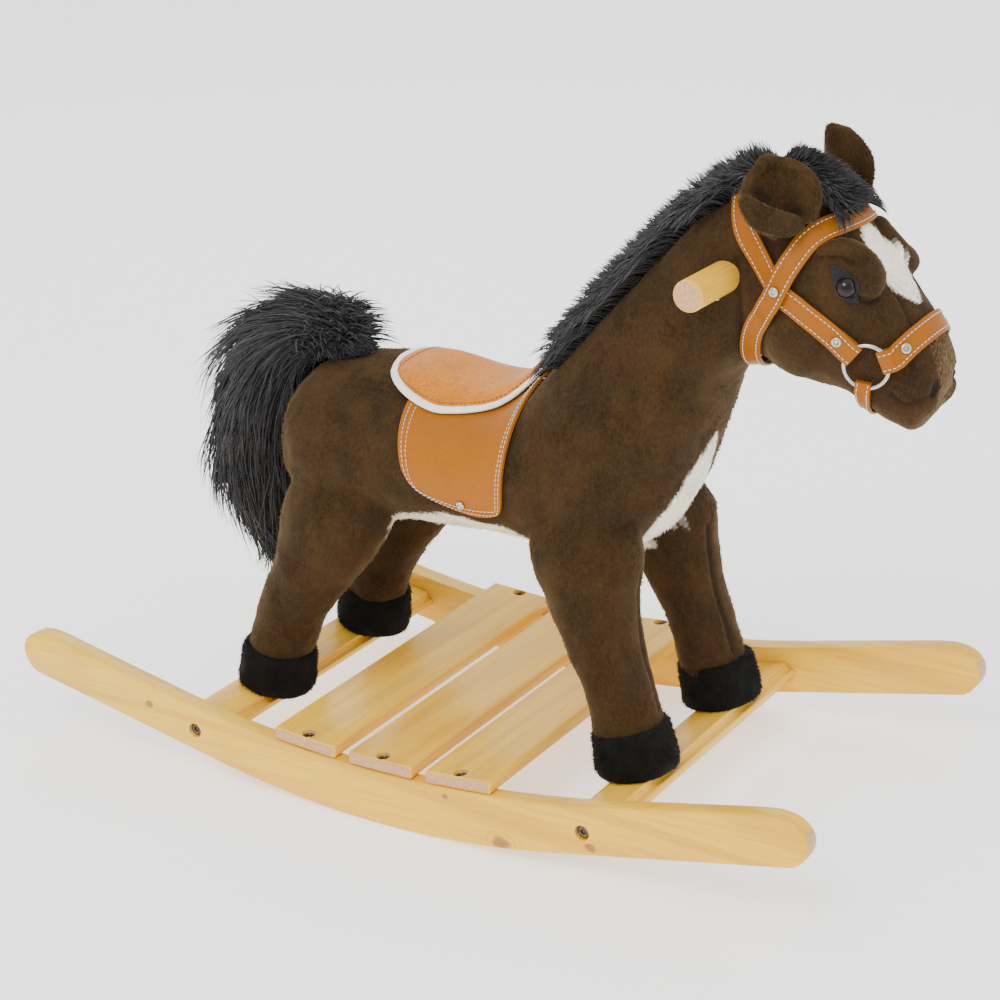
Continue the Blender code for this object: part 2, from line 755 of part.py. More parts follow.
for side_name, side in SIDES:
    spot, normal = side_spot(*EYE_PLACE, side)
    shape = bmesh.new()
    bmesh.ops.create_uvsphere(shape, u_segments=14, v_segments=9, radius=EYE_RADIUS)
    eye_mesh = mesh_from(shape, "eye_" + side_name)
    eye = place(eye_mesh, "eye_" + side_name, "eye", HORSE, smooth=True)
    eye.location = spot - normal * EYE_RADIUS * 0.35
    cut(eye, head_room)


# ---------------------------------------------------------------- ears

def ear_mesh(name):
    """A round-topped leaf, cupped towards its front, of one thickness."""
    columns, rows = 7, 7
    shape = bmesh.new()
    grid = []
    for row in range(rows):
        up = row / (rows - 1)
        wide = EAR_WIDTH / 2 * (0.40 + 0.60 * math.sin(math.pi * min(up * 0.95 + 0.05, 0.5)))
        round_off = math.sqrt(max(1 - max(up - 0.45, 0) ** 2 / 0.3034, 0.02))
        line = []
        for column in range(columns):
            across = 2 * column / (columns - 1) - 1
            droop = 0.10 * EAR_HEIGHT * across**2 * up
            x = EAR_CUP * across**2 * (1 - 0.35 * up)
            corner = (x, across * wide * round_off, up * EAR_HEIGHT - droop)
            line.append(shape.verts.new(corner))
        grid.append(line)
    for low, high in zip(grid, grid[1:]):
        for k in range(columns - 1):
            shape.faces.new((low[k], low[k + 1], high[k + 1], high[k]))
    return mesh_from(shape, name)


for side_name, side in SIDES:
    ear_name = "ear_" + side_name
    ear = place(ear_mesh(ear_name), ear_name, "plush", HORSE, smooth=True)
    ear.location = (EAR_BASE[0], side * EAR_BASE[1], EAR_BASE[2])
    turn = Matrix.Rotation(-side * EAR_LEAN_OUT, 4, "X")
    turn = turn @ Matrix.Rotation(-EAR_LEAN_BACK, 4, "Y")
    turn = turn @ Matrix.Rotation(side * EAR_TURN, 4, "Z")
    ear.rotation_euler = turn.to_euler()
    wall = ear.modifiers.new("wall", "SOLIDIFY")
    wall.thickness = EAR_THICKNESS
    wall.offset = 0


# ---------------------------------------------------------------- mane, forelock and tail

def crest_rings(first, last, half_width, rise, steps):
    """Rings of a strip of hair that stands on the ridge of the plush."""
    rings = []
    for step in range(steps + 1):
        where = first + (last - first) * step / steps
        here = section_point(coat_section(where), 0)
        ahead = section_point(coat_section(where + 0.05), 0)
        behind = section_point(coat_section(where - 0.05), 0)
        course = (ahead - behind).normalized()
        out = Vector((-course.z, 0, course.x))
        end = min(step, steps - step)
        share = 0.45 if end == 0 else (0.85 if end == 1 else 1.0)
        ring = []
        for k in range(12):
            angle = 2 * math.pi * k / 12
            across = Vector((0, half_width * share * math.sin(angle), 0))
            ring.append(here + across + out * rise * share * math.cos(angle))
        rings.append(ring)
    return rings


mane_rings = crest_rings(MANE_START, MANE_END, MANE_HALF_WIDTH, MANE_RISE, 14)
mane = place(loft_mesh("mane", mane_rings), "mane", "hair", HORSE, smooth=True)
cut(mane, body_room, head_room)
lock_rings = crest_rings(FORELOCK_START, FORELOCK_END, LOCK_HALF_WIDTH, LOCK_RISE, 7)
forelock = place(loft_mesh("forelock", lock_rings), "forelock", "hair", HORSE, smooth=True)
cut(forelock, head_room, body_room)


def tail_rings():
    rings = []
    steps = 16
    for step in range(steps + 1):
        x, z, half_depth, half_width = along(TAIL_PATH, step / steps)
        before = along(TAIL_PATH, (step - 0.5) / steps)
        after = along(TAIL_PATH, (step + 0.5) / steps)
        course = Vector((after[0] - before[0], 0, after[1] - before[1])).normalized()
        out = Vector((course.z, 0, -course.x))
        ring = []
        for k in range(14):
            angle = 2 * math.pi * k / 14
            point = Vector((x, half_width * math.sin(angle), z))
            ring.append(point + out * half_depth * math.cos(angle))
        rings.append(ring)
    return rings


TAIL_ROOT = Vector((TAIL_PATH[0][0] + TAIL_PATH[0][2], 0, TAIL_PATH[0][1]))  # its hinge
local_tail = [[point - TAIL_ROOT for point in ring] for ring in tail_rings()]
tail = place(loft_mesh("tail", local_tail), "tail", "hair", HORSE, smooth=True)
tail.location = TAIL_ROOT
cut(tail, body_room)


# ---------------------------------------------------------------- saddle

def coat_spot(where, degrees, lift=0.0):
    """A point on the plush, lifted off it along its normal, and that normal."""
    angle = math.radians(degrees)
    ahead = section_point(coat_section(where + 0.1), angle)
    behind = section_point(coat_section(where - 0.1), angle)
    section = coat_section(where)
    over = section_point(section, angle + 0.1)
    under = section_point(section, angle - 0.1)
    normal = (ahead - behind).cross(over - under).normalized()
    spot = section_point(section, angle)
    if normal.dot(spot - section_point(section, angle + math.pi)) < 0:
        normal.negate()
    return spot + normal * lift, normal


def panel_mesh(name, rows, columns, outline, inner_lift, thickness):
    """A panel laid on the body: outline gives place and angle for each of its nodes."""
    shape = bmesh.new()
    layers = []
    for outer in (False, True):
        layer = []
        for row in range(rows + 1):
            line = []
            for column in range(columns + 1):
                u, v = column / columns, row / rows
                where, degrees = outline(u, v)
                lift = inner_lift + (thickness(u, v) if outer else 0)
                line.append(shape.verts.new(coat_spot(where, degrees, lift)[0]))
            layer.append(line)
        layers.append(layer)
    inner, outer = layers
    for layer in layers:
        for low, high in zip(layer, layer[1:]):
            for k in range(columns):
                shape.faces.new((low[k], low[k + 1], high[k + 1], high[k]))
    rim = [(0, k) for k in range(columns)]
    rim += [(k, columns) for k in range(rows)]
    rim += [(rows, columns - k) for k in range(columns)]
    rim += [(rows - k, 0) for k in range(rows)]
    for (a, b), (c, d) in zip(rim, rim[1:] + rim[:1]):
        shape.faces.new((inner[a][b], inner[c][d], outer[c][d], outer[a][b]))
    return mesh_from(shape, name)


def seat_reach(u):
    """Degrees from the ridge to the seat's edge: a round back, then a long taper."""
    if u < SEAT_ROUND:
        share = math.sqrt(1 - (1 - u / SEAT_ROUND) ** 2)
        return SEAT_BACK_ANGLE + (SEAT_MID_ANGLE - SEAT_BACK_ANGLE) * share
    share = ((u - SEAT_ROUND) / (1 - SEAT_ROUND)) ** 1.1
    return SEAT_MID_ANGLE + (SEAT_FRONT_ANGLE - SEAT_MID_ANGLE) * share


def seat_outline(u, v):
    """u runs back to front and v from the right edge to the left."""
    where = SEAT_FROM + (SEAT_TO - SEAT_FROM) * u
    return where, seat_reach(u) * (2 * v - 1)


def seat_padding(u, v):
    crown = (1 - (2 * v - 1) ** 4) * (1 - (2 * u - 1) ** 8)
    return SEAT_EDGE + (SEAT_THICKNESS - SEAT_EDGE) * crown


seat_lift = SKIN_GAP + FLAP_THICKNESS + SKIN_GAP
seat_mesh = panel_mesh("saddle_seat", 12, 12, seat_outline, seat_lift, seat_padding)
seat = place(seat_mesh, "saddle_seat", "leather", HORSE, smooth=True)

for side_name, side in SIDES:

    def flap_outline(u, v, side=side):
        """u runs back to front, and v from under the seat down to the hem."""
        start = FLAP_TOP_FROM + (FLAP_LOW_FROM - FLAP_TOP_FROM) * v**1.6
        end = FLAP_TOP_TO + (FLAP_LOW_TO - FLAP_TOP_TO) * v
        hem = 1 - 0.16 * (1 - u) ** 3 - 0.05 * u**4
        where = start + (end - start) * u
        top = seat_reach((where - SEAT_FROM) / (SEAT_TO - SEAT_FROM)) - FLAP_TUCK
        return where, side * (top + (FLAP_LOW_ANGLE - top) * v * hem)

    flap_name = "saddle_flap_" + side_name
    flap_mesh = panel_mesh(
        flap_name, 12, 8, flap_outline, SKIN_GAP, lambda u, v: FLAP_THICKNESS
    )
    place(flap_mesh, flap_name, "leather", HORSE, smooth=True)


# ---------------------------------------------------------------- bridle

def strap_mesh(name, points, outwards, width, thicknesses, closed=False):
    """A flat strap along points. outwards gives the way its face looks at each of them."""
    rings = []
    count = len(points)
    for k, point in enumerate(points):
        before = points[k - 1] if (k or closed) else point
        after = points[(k + 1) % count] if (k < count - 1 or closed) else point
        course = (after - before).normalized()
        out = outwards[k] - course * outwards[k].dot(course)
        out.normalize()
        across = course.cross(out)
        half = width / 2
        inner, outer = -thicknesses[k] / 2 * out, thicknesses[k] / 2 * out
        corners = (inner - across * half, inner + across * half)
        corners += (outer + across * half, outer - across * half)
        rings.append([point + corner for corner in corners])
    return loft_mesh(name, rings, closed)


def strap_course(corners, steps, closed=False):
    """Points and outward directions of a strap on the plush, through its corners."""
    points, outwards = [], []
    crossing = coat_spot(*CROSSING)[0]
    half = STRAP_THICKNESS / 2
    for step in range(steps + (0 if closed else 1)):
        where, degrees, extra = along(corners, step / steps)
        spot, normal = coat_spot(where, degrees)
        lift = SKIN_GAP + half + extra
        if closed:
            mirrored_spot = Vector((spot.x, math.copysign(spot.y, crossing.y), spot.z))
            near = max(0.0, 1 - (mirrored_spot - crossing).length / CROSSING_RAMP)
            lift += (STRAP_THICKNESS + SKIN_GAP) * min(1.0, near * 2.2)
        points.append(spot + normal * lift)
        outwards.append(normal)
    return points, outwards


def ring_end(side, guide, width):
    """The last points of a strap, folded round the ring's wire, from outside inwards."""
    centre, normal = ring_frames[side]
    toward = guide - centre
    toward -= normal * toward.dot(normal)
    toward.normalize()
    inside = math.sqrt(RING_RADIUS**2 - (width / 2) ** 2)
    spare = WIRE_RADIUS + RUNNING + LOOP_WALL
    reaches = (RING_RADIUS + spare, RING_RADIUS, inside - spare)
    return [centre + toward * reach for reach in reaches], [normal] * 3


ring_frames, ring_rooms = {}, {}
for side_name, side in SIDES:
    where, degrees = RING_PLACE
    centre, normal = coat_spot(where, side * degrees, SKIN_GAP + RING_STANDOFF + WIRE_RADIUS)
    ring_frames[side] = (centre, normal)
    turn = Vector((0, 0, 1)).rotation_difference(normal).to_matrix().to_4x4()
    for name, wire_radius, colour in (
        ("bridle_ring_" + side_name, WIRE_RADIUS, "steel"),
        ("ring_room_" + side_name, WIRE_RADIUS + RUNNING, None),
    ):
        shape = bmesh.new()
        wire = []
        for step in range(RING_STEPS):
            angle = 2 * math.pi * step / RING_STEPS
            radial = Vector((math.cos(angle), math.sin(angle), 0))
            loop = []
            for k in range(6):
                tube = 2 * math.pi * k / 6
                corner = radial * (RING_RADIUS + wire_radius * math.cos(tube))
                corner.z = wire_radius * math.sin(tube)
                loop.append(shape.verts.new(corner))
            wire.append(loop)
        close_rings(shape, wire, closed=True)
        ring = place(mesh_from(shape, name), name, colour, HORSE, smooth=True)
        ring.matrix_local = Matrix.Translation(centre) @ turn
        if not colour:
            ring_rooms[side] = ring


def side_course(course, side, whole_turn=0):
    return [(where, side * degrees + whole_turn, extra) for where, degrees, extra in course]


def bridle_strap(name, course, middle, width, steps):
    """A strap from the right ring, over or under the head, to the left ring."""
    whole_turn = -360 if middle[1] < 0 else 0
    corners = side_course(course, -1) + [middle]
    corners += list(reversed(side_course(course, 1, whole_turn)))
    points, outwards = strap_course(corners, steps)
    first, first_out = ring_end(-1, points[0], width)
    last, last_out = ring_end(1, points[-1], width)
    points = first[::-1] + points + last
    outwards = first_out + outwards + last_out
    thick = [LOOP_THICKNESS] * 3
    thicknesses = thick + [STRAP_THICKNESS] * (steps + 1) + thick
    mesh = strap_mesh(name, points, outwards, width, thicknesses)
    strap = place(mesh, name, "leather", HORSE, smooth=True)
    cut(strap, ring_rooms[-1], ring_rooms[1])
    return points, outwards


cheek_points, cheek_out = bridle_strap(
    "crown_strap", CHEEK_COURSE, CROWN_TOP, STRAP_WIDTH, CROWN_STEPS
)
nose_points, nose_out = bridle_strap("nose_strap", NOSE_COURSE, NOSE_TOP, STRAP_WIDTH, NOSE_STEPS)
bridle_strap("chin_strap", CHIN_COURSE, CHIN_LOW, CHIN_WIDTH, CHIN_STEPS)

brow_half = [THROAT_LOW] + list(reversed(side_course(BROW_COURSE[1:], 1))) + [BROW_COURSE[0]]
other_half = side_course(BROW_COURSE[1:], -1) + [(THROAT_LOW[0], -THROAT_LOW[1], THROAT_LOW[2])]
points, outwards = strap_course(brow_half + other_half, BROW_STEPS, closed=True)
thicknesses = [STRAP_THICKNESS] * len(points)
brow_mesh = strap_mesh("brow_strap", points, outwards, STRAP_WIDTH, thicknesses, closed=True)
place(brow_mesh, "brow_strap", "leather", HORSE, smooth=True)


def put_rivet(name, spot, normal):
    """A domed rivet head on a strap's face."""
    profile = (
        (RIVET_RADIUS * 0.6, RIVET_HEIGHT),
        (RIVET_RADIUS, RIVET_HEIGHT * 0.45),
        (RIVET_RADIUS, 0),
    )
    rivet = place(turned_mesh(name, profile, 12), name, "steel", HORSE)
    turn = Vector((0, 0, 1)).rotation_difference(normal).to_matrix().to_4x4()
    rivet.matrix_local = Matrix.Translation(spot + normal * FIT) @ turn


for side_name, side in SIDES:
    where, degrees = CROSSING
    lift = 2 * (SKIN_GAP + STRAP_THICKNESS) + FIT
    spot, normal = coat_spot(where, side * degrees, lift)
    put_rivet("rivet_crossing_" + side_name, spot, normal)
    for strap, points, outwards, index in (
        ("cheek", cheek_points, cheek_out, CHEEK_RIVET),
        ("nose", nose_points, nose_out, NOSE_RIVET),
    ):
        k = index if side < 0 else len(points) - 1 - index
        face = points[k] + outwards[k] * (STRAP_THICKNESS / 2 + FIT)
        put_rivet("rivet_" + strap + "_" + side_name, face, outwards[k])
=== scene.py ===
"""A plush rocking horse on a wooden rocker base: its looks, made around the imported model.

The base comes first, then the stuffed horse from the hooves up, and last its hair, saddle
and bridle. Lengths are in metres. +X is the way the horse faces, +Y its left, +Z up.
"""
import math

import bmesh
import bpy
import numpy as np
from mathutils import Matrix, Vector, noise
from mathutils.bvhtree import BVHTree
from mathutils.kdtree import KDTree


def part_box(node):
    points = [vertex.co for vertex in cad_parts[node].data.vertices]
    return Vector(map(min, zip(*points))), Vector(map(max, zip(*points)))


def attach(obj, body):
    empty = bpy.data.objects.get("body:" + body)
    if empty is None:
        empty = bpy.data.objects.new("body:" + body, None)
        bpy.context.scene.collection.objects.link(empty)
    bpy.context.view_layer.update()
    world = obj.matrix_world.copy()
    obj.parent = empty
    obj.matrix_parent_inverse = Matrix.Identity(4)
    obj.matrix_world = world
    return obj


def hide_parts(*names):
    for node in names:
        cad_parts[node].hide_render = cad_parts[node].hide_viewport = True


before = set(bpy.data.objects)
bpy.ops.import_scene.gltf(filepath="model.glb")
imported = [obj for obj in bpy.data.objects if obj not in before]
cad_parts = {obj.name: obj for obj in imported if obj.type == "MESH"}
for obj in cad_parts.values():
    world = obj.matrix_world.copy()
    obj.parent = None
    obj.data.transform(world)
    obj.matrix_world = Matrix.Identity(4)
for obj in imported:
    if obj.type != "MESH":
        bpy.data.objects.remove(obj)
noise.seed_set(11)  # noise vectors start from the clock unless they are given a seed
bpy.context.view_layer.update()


# ---------------------------------------------------------------- room, light and camera
# A pale seamless floor, a big soft light over the horse's right shoulder, a weaker one on
# the other side, and a camera a little above the horse's back.

FLOOR_SIZE = 60.0
CAMERA_TARGET = Vector((0.0012, 0, 0.2352))
CAMERA_DISTANCE = 2.0789
CAMERA_AZIMUTH = math.radians(32.93)
CAMERA_ELEVATION = math.radians(20.88)
CAMERA_ROLL = math.radians(-2.35)
CAMERA_LENS = 86.4  # millimetres, on a 36 mm sensor

bpy.ops.object.select_all(action="DESELECT")
bpy.ops.mesh.primitive_plane_add(size=FLOOR_SIZE)
floor = bpy.context.object
floor.name = "floor"
floor_finish = bpy.data.materials.new("pale_floor")
floor_finish.use_nodes = True
floor_shader = floor_finish.node_tree.nodes["Principled BSDF"]
floor_shader.inputs["Base Color"].default_value = (0.90, 0.90, 0.90, 1)
floor_shader.inputs["Emission Color"].default_value = (1, 1, 1, 1)
floor_shader.inputs["Emission Strength"].default_value = 0.80
floor_shader.inputs["Roughness"].default_value = 0.9
floor_shader.inputs["Specular IOR Level"].default_value = 0.1
floor.data.materials.append(floor_finish)

world = bpy.data.worlds.new("studio")
world.use_nodes = True
world.node_tree.nodes["Background"].inputs["Color"].default_value = (1, 1, 1, 1)
world.node_tree.nodes["Background"].inputs["Strength"].default_value = 1.45
sky = world.node_tree.nodes.new("ShaderNodeBackground")
sky.inputs["Strength"].default_value = 2.3
seen = world.node_tree.nodes.new("ShaderNodeLightPath")
either = world.node_tree.nodes.new("ShaderNodeMixShader")
world.node_tree.links.new(seen.outputs["Is Camera Ray"], either.inputs[0])
world.node_tree.links.new(world.node_tree.nodes["Background"].outputs[0], either.inputs[1])
world.node_tree.links.new(sky.outputs[0], either.inputs[2])
world.node_tree.links.new(either.outputs[0], world.node_tree.nodes["World Output"].inputs["Surface"])
bpy.context.scene.world = world

for light_name, spot, size, power in (
    ("key_light", (0.3, -1.9, 2.3), 1.3, 42),
    ("fill_light", (2.6, 0.6, 1.5), 1.6, 10),
    ("back_light", (-1.8, 1.9, 2.2), 1.4, 14),
):
    bpy.ops.object.light_add(type="AREA", location=spot)
    light = bpy.context.object
    light.name = light_name
    light.data.shape = "DISK"
    light.data.size = size
    light.data.energy = power
    light.rotation_euler = (Vector((0, 0, 0.25)) - Vector(spot)).to_track_quat("-Z", "Y").to_euler()

camera_turn = (
    Matrix.Rotation(CAMERA_AZIMUTH, 4, "Z")
    @ Matrix.Rotation(math.pi / 2 - CAMERA_ELEVATION, 4, "X")
    @ Matrix.Rotation(CAMERA_ROLL, 4, "Z")
)
camera_back = camera_turn.to_3x3() @ Vector((0, 0, 1))
bpy.ops.object.camera_add()
camera = bpy.context.object
camera.name = "camera"
camera.data.lens = CAMERA_LENS
camera.data.sensor_width = 36
camera.matrix_world = Matrix.Translation(CAMERA_TARGET + camera_back * CAMERA_DISTANCE) @ camera_turn
bpy.context.scene.camera = camera


# ---------------------------------------------------------------- boards of the base
# Two curved rockers, three foot slats and two crossbars, sawn from pine, sanded round on
# their edges and dipped in clear lacquer. Each board is cut from another stretch of timber.

PINE = (0.86, 0.50, 0.030)
PINE_LATE_WOOD = (0.56, 0.24, 0.012)
KNOT_BROWN = (0.28, 0.115, 0.035)
END_GRAIN = (0.50, 0.27, 0.125)
END_GRAIN_LATE = (0.62, 0.36, 0.17)
PINE_PALE = (0.90, 0.62, 0.12)
PINE_WARM = (0.66, 0.31, 0.05)
PINE_PORE = (0.42, 0.22, 0.08)
ROCKER_ROUNDING = 0.0028
BOARD_ROUNDING = 0.0022
SIDES = (("right", -1), ("left", 1))
BODY = "horse_and_base"


def add_node(tree, kind, wires=None, **settings):
    """A shader node. wires gives a value, or the socket that feeds it, for each input."""
    made = tree.nodes.new("ShaderNode" + kind)
    for setting, value in settings.items():
        setattr(made, setting, value)
    for name, value in (wires or {}).items():
        socket = made.inputs[name]
        if isinstance(value, bpy.types.NodeSocket):
            tree.links.new(value, socket)
        else:
            socket.default_value = value
    return made


def maths(tree, operation, first, second=0.0, third=0.0, clamp=False):
    made = add_node(tree, "Math", {0: first, 1: second, 2: third}, operation=operation)
    made.use_clamp = clamp
    return made.outputs[0]


def blend_colours(tree, share, first, second, kind="MIX"):
    made = add_node(tree, "Mix", data_type="RGBA", blend_type=kind)
    for name, value in (("Factor_Float", share), ("A_Color", first), ("B_Color", second)):
        socket = next(s for s in made.inputs if s.identifier == name)
        if isinstance(value, bpy.types.NodeSocket):
            tree.links.new(value, socket)
        else:
            socket.default_value = value if name == "Factor_Float" else (*value[:3], 1)
    return next(s for s in made.outputs if s.identifier == "Result_Color")


def spread(tree, value, low, high, start=0.0, end=1.0):
    """Stretches low to high over start to end, with soft ends."""
    made = add_node(tree, "MapRange", {"Value": value, "From Min": low, "From Max": high})
    made.inputs["To Min"].default_value = start
    made.inputs["To Max"].default_value = end
    made.interpolation_type = "SMOOTHSTEP"
    return made.outputs["Result"]


def add_noise(tree, where, scale, detail):
    return add_node(tree, "TexNoise", {"Vector": where, "Scale": scale, "Detail": detail})


def new_group(name, inputs, outputs):
    """A shader node group with named inputs and outputs, and its two end nodes."""
    tree = bpy.data.node_groups.new(name, "ShaderNodeTree")
    for socket_name, kind, value in inputs:
        made = tree.interface.new_socket(socket_name, in_out="INPUT", socket_type="NodeSocket" + kind)
        if value is not None:
            made.default_value = value
    for socket_name, kind in outputs:
        tree.interface.new_socket(socket_name, in_out="OUTPUT", socket_type="NodeSocket" + kind)
    return tree, tree.nodes.new("NodeGroupInput"), tree.nodes.new("NodeGroupOutput")


def filled_group(tree, end, **values):
    """The group's tree, with a value linked to each of its named outputs."""
    for name, value in values.items():
        tree.links.new(value, end.inputs[name])
    return tree


def new_finish(name):
    """A material and its tree, its Principled BSDF and its Object coordinates."""
    material = bpy.data.materials.new(name)
    material.use_nodes = True
    tree = material.node_tree
    shader = tree.nodes["Principled BSDF"]
    return material, tree, shader, add_node(tree, "TexCoord")


def add_relief(tree, shader, height, strength, distance):
    """Fine relief from a height, on a finish's normal."""
    relief = add_node(tree, "Bump", {"Height": height, "Strength": strength, "Distance": distance})
    tree.links.new(relief.outputs[0], shader.inputs["Normal"])


def knot_group():
    """One knot: a dark heart with rings round it. Strength falls off outside its radius."""
    tree, start, end = new_group(
        "pine_knot",
        (("Vector", "Vector", None), ("Centre", "Vector", None), ("Radius", "Float", 0.006)),
        (("Heart", "Float"), ("Rings", "Float")),
    )
    offset = add_node(tree, "VectorMath", {0: start.outputs["Vector"], 1: start.outputs["Centre"]})
    offset.operation = "SUBTRACT"
    wobble = add_noise(tree, start.outputs["Vector"], 160.0, 2.0)
    flat = add_node(tree, "VectorMath", {0: offset.outputs[0], 1: (0.72, 1.0, 1.0)}, operation="MULTIPLY")
    reach = add_node(tree, "VectorMath", {0: flat.outputs[0]}, operation="LENGTH").outputs["Value"]
    share = maths(tree, "DIVIDE", reach, start.outputs["Radius"])
    share = maths(tree, "ADD", share, maths(tree, "MULTIPLY_ADD", wobble.outputs["Fac"], 0.7, -0.35))
    heart = spread(tree, share, 1.15, 0.55)
    ripple = maths(tree, "SINE", maths(tree, "MULTIPLY", share, 8.5))
    halo = spread(tree, share, 3.4, 0.8)
    rings = maths(tree, "MULTIPLY", maths(tree, "MULTIPLY_ADD", ripple, 0.5, 0.5), halo)
    return filled_group(tree, end, Heart=heart, Rings=rings)


def timber_group():
    """Pine with its grain along X: broad figure, fine late-wood lines, pores and end grain."""
    tree, start, end = new_group(
        "pine_timber",
        (("Vector", "Vector", None), ("Knots", "Float", 0.0), ("Knot Rings", "Float", 0.0),
         ("End Grain", "Float", 0.0), ("Warmth", "Float", 0.0)),
        (("Color", "Color"), ("Roughness", "Float"), ("Height", "Float")),
    )
    where = start.outputs["Vector"]
    long_way = add_node(tree, "VectorMath", {0: where, 1: (1.6, 17.0, 17.0)}, operation="MULTIPLY")
    bent = add_noise(tree, long_way.outputs[0], 1.3, 3.0)
    figure = add_node(tree, "TexWave", {"Vector": long_way.outputs[0], "Scale": 0.9, "Distortion": 7.5})
    figure.bands_direction = "DIAGONAL"
    figure.inputs["Detail"].default_value = 2.5
    figure.inputs["Detail Scale"].default_value = 1.1
    fine_way = add_node(tree, "VectorMath", {0: where, 1: (14.0, 420.0, 420.0)}, operation="MULTIPLY")
    lines = add_noise(tree, fine_way.outputs[0], 1.0, 4.0)
    speck_way = add_node(tree, "VectorMath", {0: where, 1: (160.0, 2300.0, 2300.0)}, operation="MULTIPLY")
    pores = add_noise(tree, speck_way.outputs[0], 1.0, 1.0)
    stain = add_noise(tree, where, 9.0, 3.0)

    band = spread(tree, figure.outputs["Fac"], 0.35, 0.95)
    knot_rings = maths(tree, "MULTIPLY", start.outputs["Knot Rings"], 0.5)
    band = maths(tree, "MAXIMUM", maths(tree, "MULTIPLY", band, 0.34), knot_rings)
    colour = blend_colours(tree, band, PINE, PINE_LATE_WOOD)
    streak = spread(tree, lines.outputs["Fac"], 0.42, 0.72)
    colour = blend_colours(tree, maths(tree, "MULTIPLY", streak, 0.34), colour, PINE_LATE_WOOD)
    pale = spread(tree, bent.outputs["Fac"], 0.45, 0.75)
    colour = blend_colours(tree, maths(tree, "MULTIPLY", pale, 0.38), colour, PINE_PALE)
    warm = maths(tree, "MULTIPLY", spread(tree, stain.outputs["Fac"], 0.5, 0.72), 0.30)
    warm = maths(tree, "ADD", warm, start.outputs["Warmth"])
    colour = blend_colours(tree, warm, colour, PINE_WARM)
    colour = blend_colours(tree, maths(tree, "MULTIPLY", start.outputs["Knots"], 0.85), colour, KNOT_BROWN)
    ends = blend_colours(tree, spread(tree, lines.outputs["Fac"], 0.35, 0.7), END_GRAIN, END_GRAIN_LATE)
    colour = blend_colours(tree, start.outputs["End Grain"], colour, ends)
    pits = spread(tree, pores.outputs["Fac"], 0.66, 0.8)
    colour = blend_colours(tree, maths(tree, "MULTIPLY", pits, 0.28), colour, PINE_PORE)
    rough = maths(tree, "MULTIPLY_ADD", streak, 0.10, 0.30)
    rough = maths(tree, "MAXIMUM", rough, maths(tree, "MULTIPLY", start.outputs["End Grain"], 0.5))
    height = maths(tree, "MULTIPLY", streak, 0.35)
    height = maths(tree, "SUBTRACT", height, maths(tree, "MULTIPLY", pits, 0.6))
    height = maths(tree, "ADD", height, maths(tree, "MULTIPLY", start.outputs["Knots"], 0.5))
    return filled_group(tree, end, Color=colour, Roughness=rough, Height=height)


PINE_KNOT = knot_group()
PINE_TIMBER = timber_group()


def timber_finish(name, grain_turn=0.0, shift=(0, 0, 0), knots=(), warmth=0.0):
    """Lacquered pine. grain_turn turns the grain from X, and knots are places and radii."""
    material, tree, shader, where = new_finish(name)
    board = add_node(tree, "Mapping", {"Vector": where.outputs["Object"]})
    board.inputs["Rotation"].default_value = (0, 0, grain_turn)
    board.inputs["Location"].default_value = shift
    timber = add_node(tree, "Group", node_tree=PINE_TIMBER)
    tree.links.new(board.outputs[0], timber.inputs["Vector"])
    timber.inputs["Warmth"].default_value = warmth
    hearts, rings = 0.0, 0.0
    for place, radius in knots:
        knot = add_node(tree, "Group", node_tree=PINE_KNOT)
        tree.links.new(where.outputs["Object"], knot.inputs["Vector"])
        knot.inputs["Centre"].default_value = place
        knot.inputs["Radius"].default_value = radius
        hearts = maths(tree, "MAXIMUM", knot.outputs["Heart"], hearts)
        rings = maths(tree, "MAXIMUM", knot.outputs["Rings"], rings)
    if knots:
        tree.links.new(hearts, timber.inputs["Knots"])
        tree.links.new(rings, timber.inputs["Knot Rings"])
    along = (math.cos(grain_turn), -math.sin(grain_turn), 0)
    facing = add_node(tree, "VectorMath", {0: where.outputs["Normal"], 1: along}, operation="DOT_PRODUCT")
    ends = spread(tree, maths(tree, "ABSOLUTE", facing.outputs["Value"]), 0.72, 0.9)
    tree.links.new(ends, timber.inputs["End Grain"])
    tree.links.new(timber.outputs["Color"], shader.inputs["Base Color"])
    tree.links.new(timber.outputs["Roughness"], shader.inputs["Roughness"])
    add_relief(tree, shader, timber.outputs["Height"], 0.22, 0.0004)
    shader.inputs["Coat Weight"].default_value = 0.12
    shader.inputs["Specular IOR Level"].default_value = 0.25
    shader.inputs["Coat Roughness"].default_value = 0.16
    return material


def select_only(piece):
    bpy.ops.object.select_all(action="DESELECT")
    piece.select_set(True)
    bpy.context.view_layer.objects.active = piece


def apply_modifiers(piece):
    select_only(piece)
    for modifier in list(piece.modifiers):
        bpy.ops.object.modifier_apply(modifier=modifier.name)


def round_edges(piece, width, segments, degrees):
    """Rounded edges where two faces turn by more than some degrees, and smooth shading."""
    rounding = piece.modifiers.new("rounding", "BEVEL")
    rounding.width = width
    rounding.segments = segments
    rounding.limit_method = "ANGLE"
    rounding.angle_limit = math.radians(degrees)
    apply_modifiers(piece)
    piece.data.shade_smooth()


def node_copy(node, name):
    """A merged copy of a CAD node's mesh, as a new piece."""
    piece = bpy.data.objects.new(name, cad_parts[node].data.copy())
    piece.data.materials.clear()
    bpy.context.scene.collection.objects.link(piece)
    select_only(piece)
    bpy.ops.object.mode_set(mode="EDIT")
    bpy.ops.mesh.select_all(action="SELECT")
    bpy.ops.mesh.remove_doubles(threshold=0.00002)
    bpy.ops.mesh.dissolve_limited(angle_limit=math.radians(0.4))
    bpy.ops.object.mode_set(mode="OBJECT")
    return piece


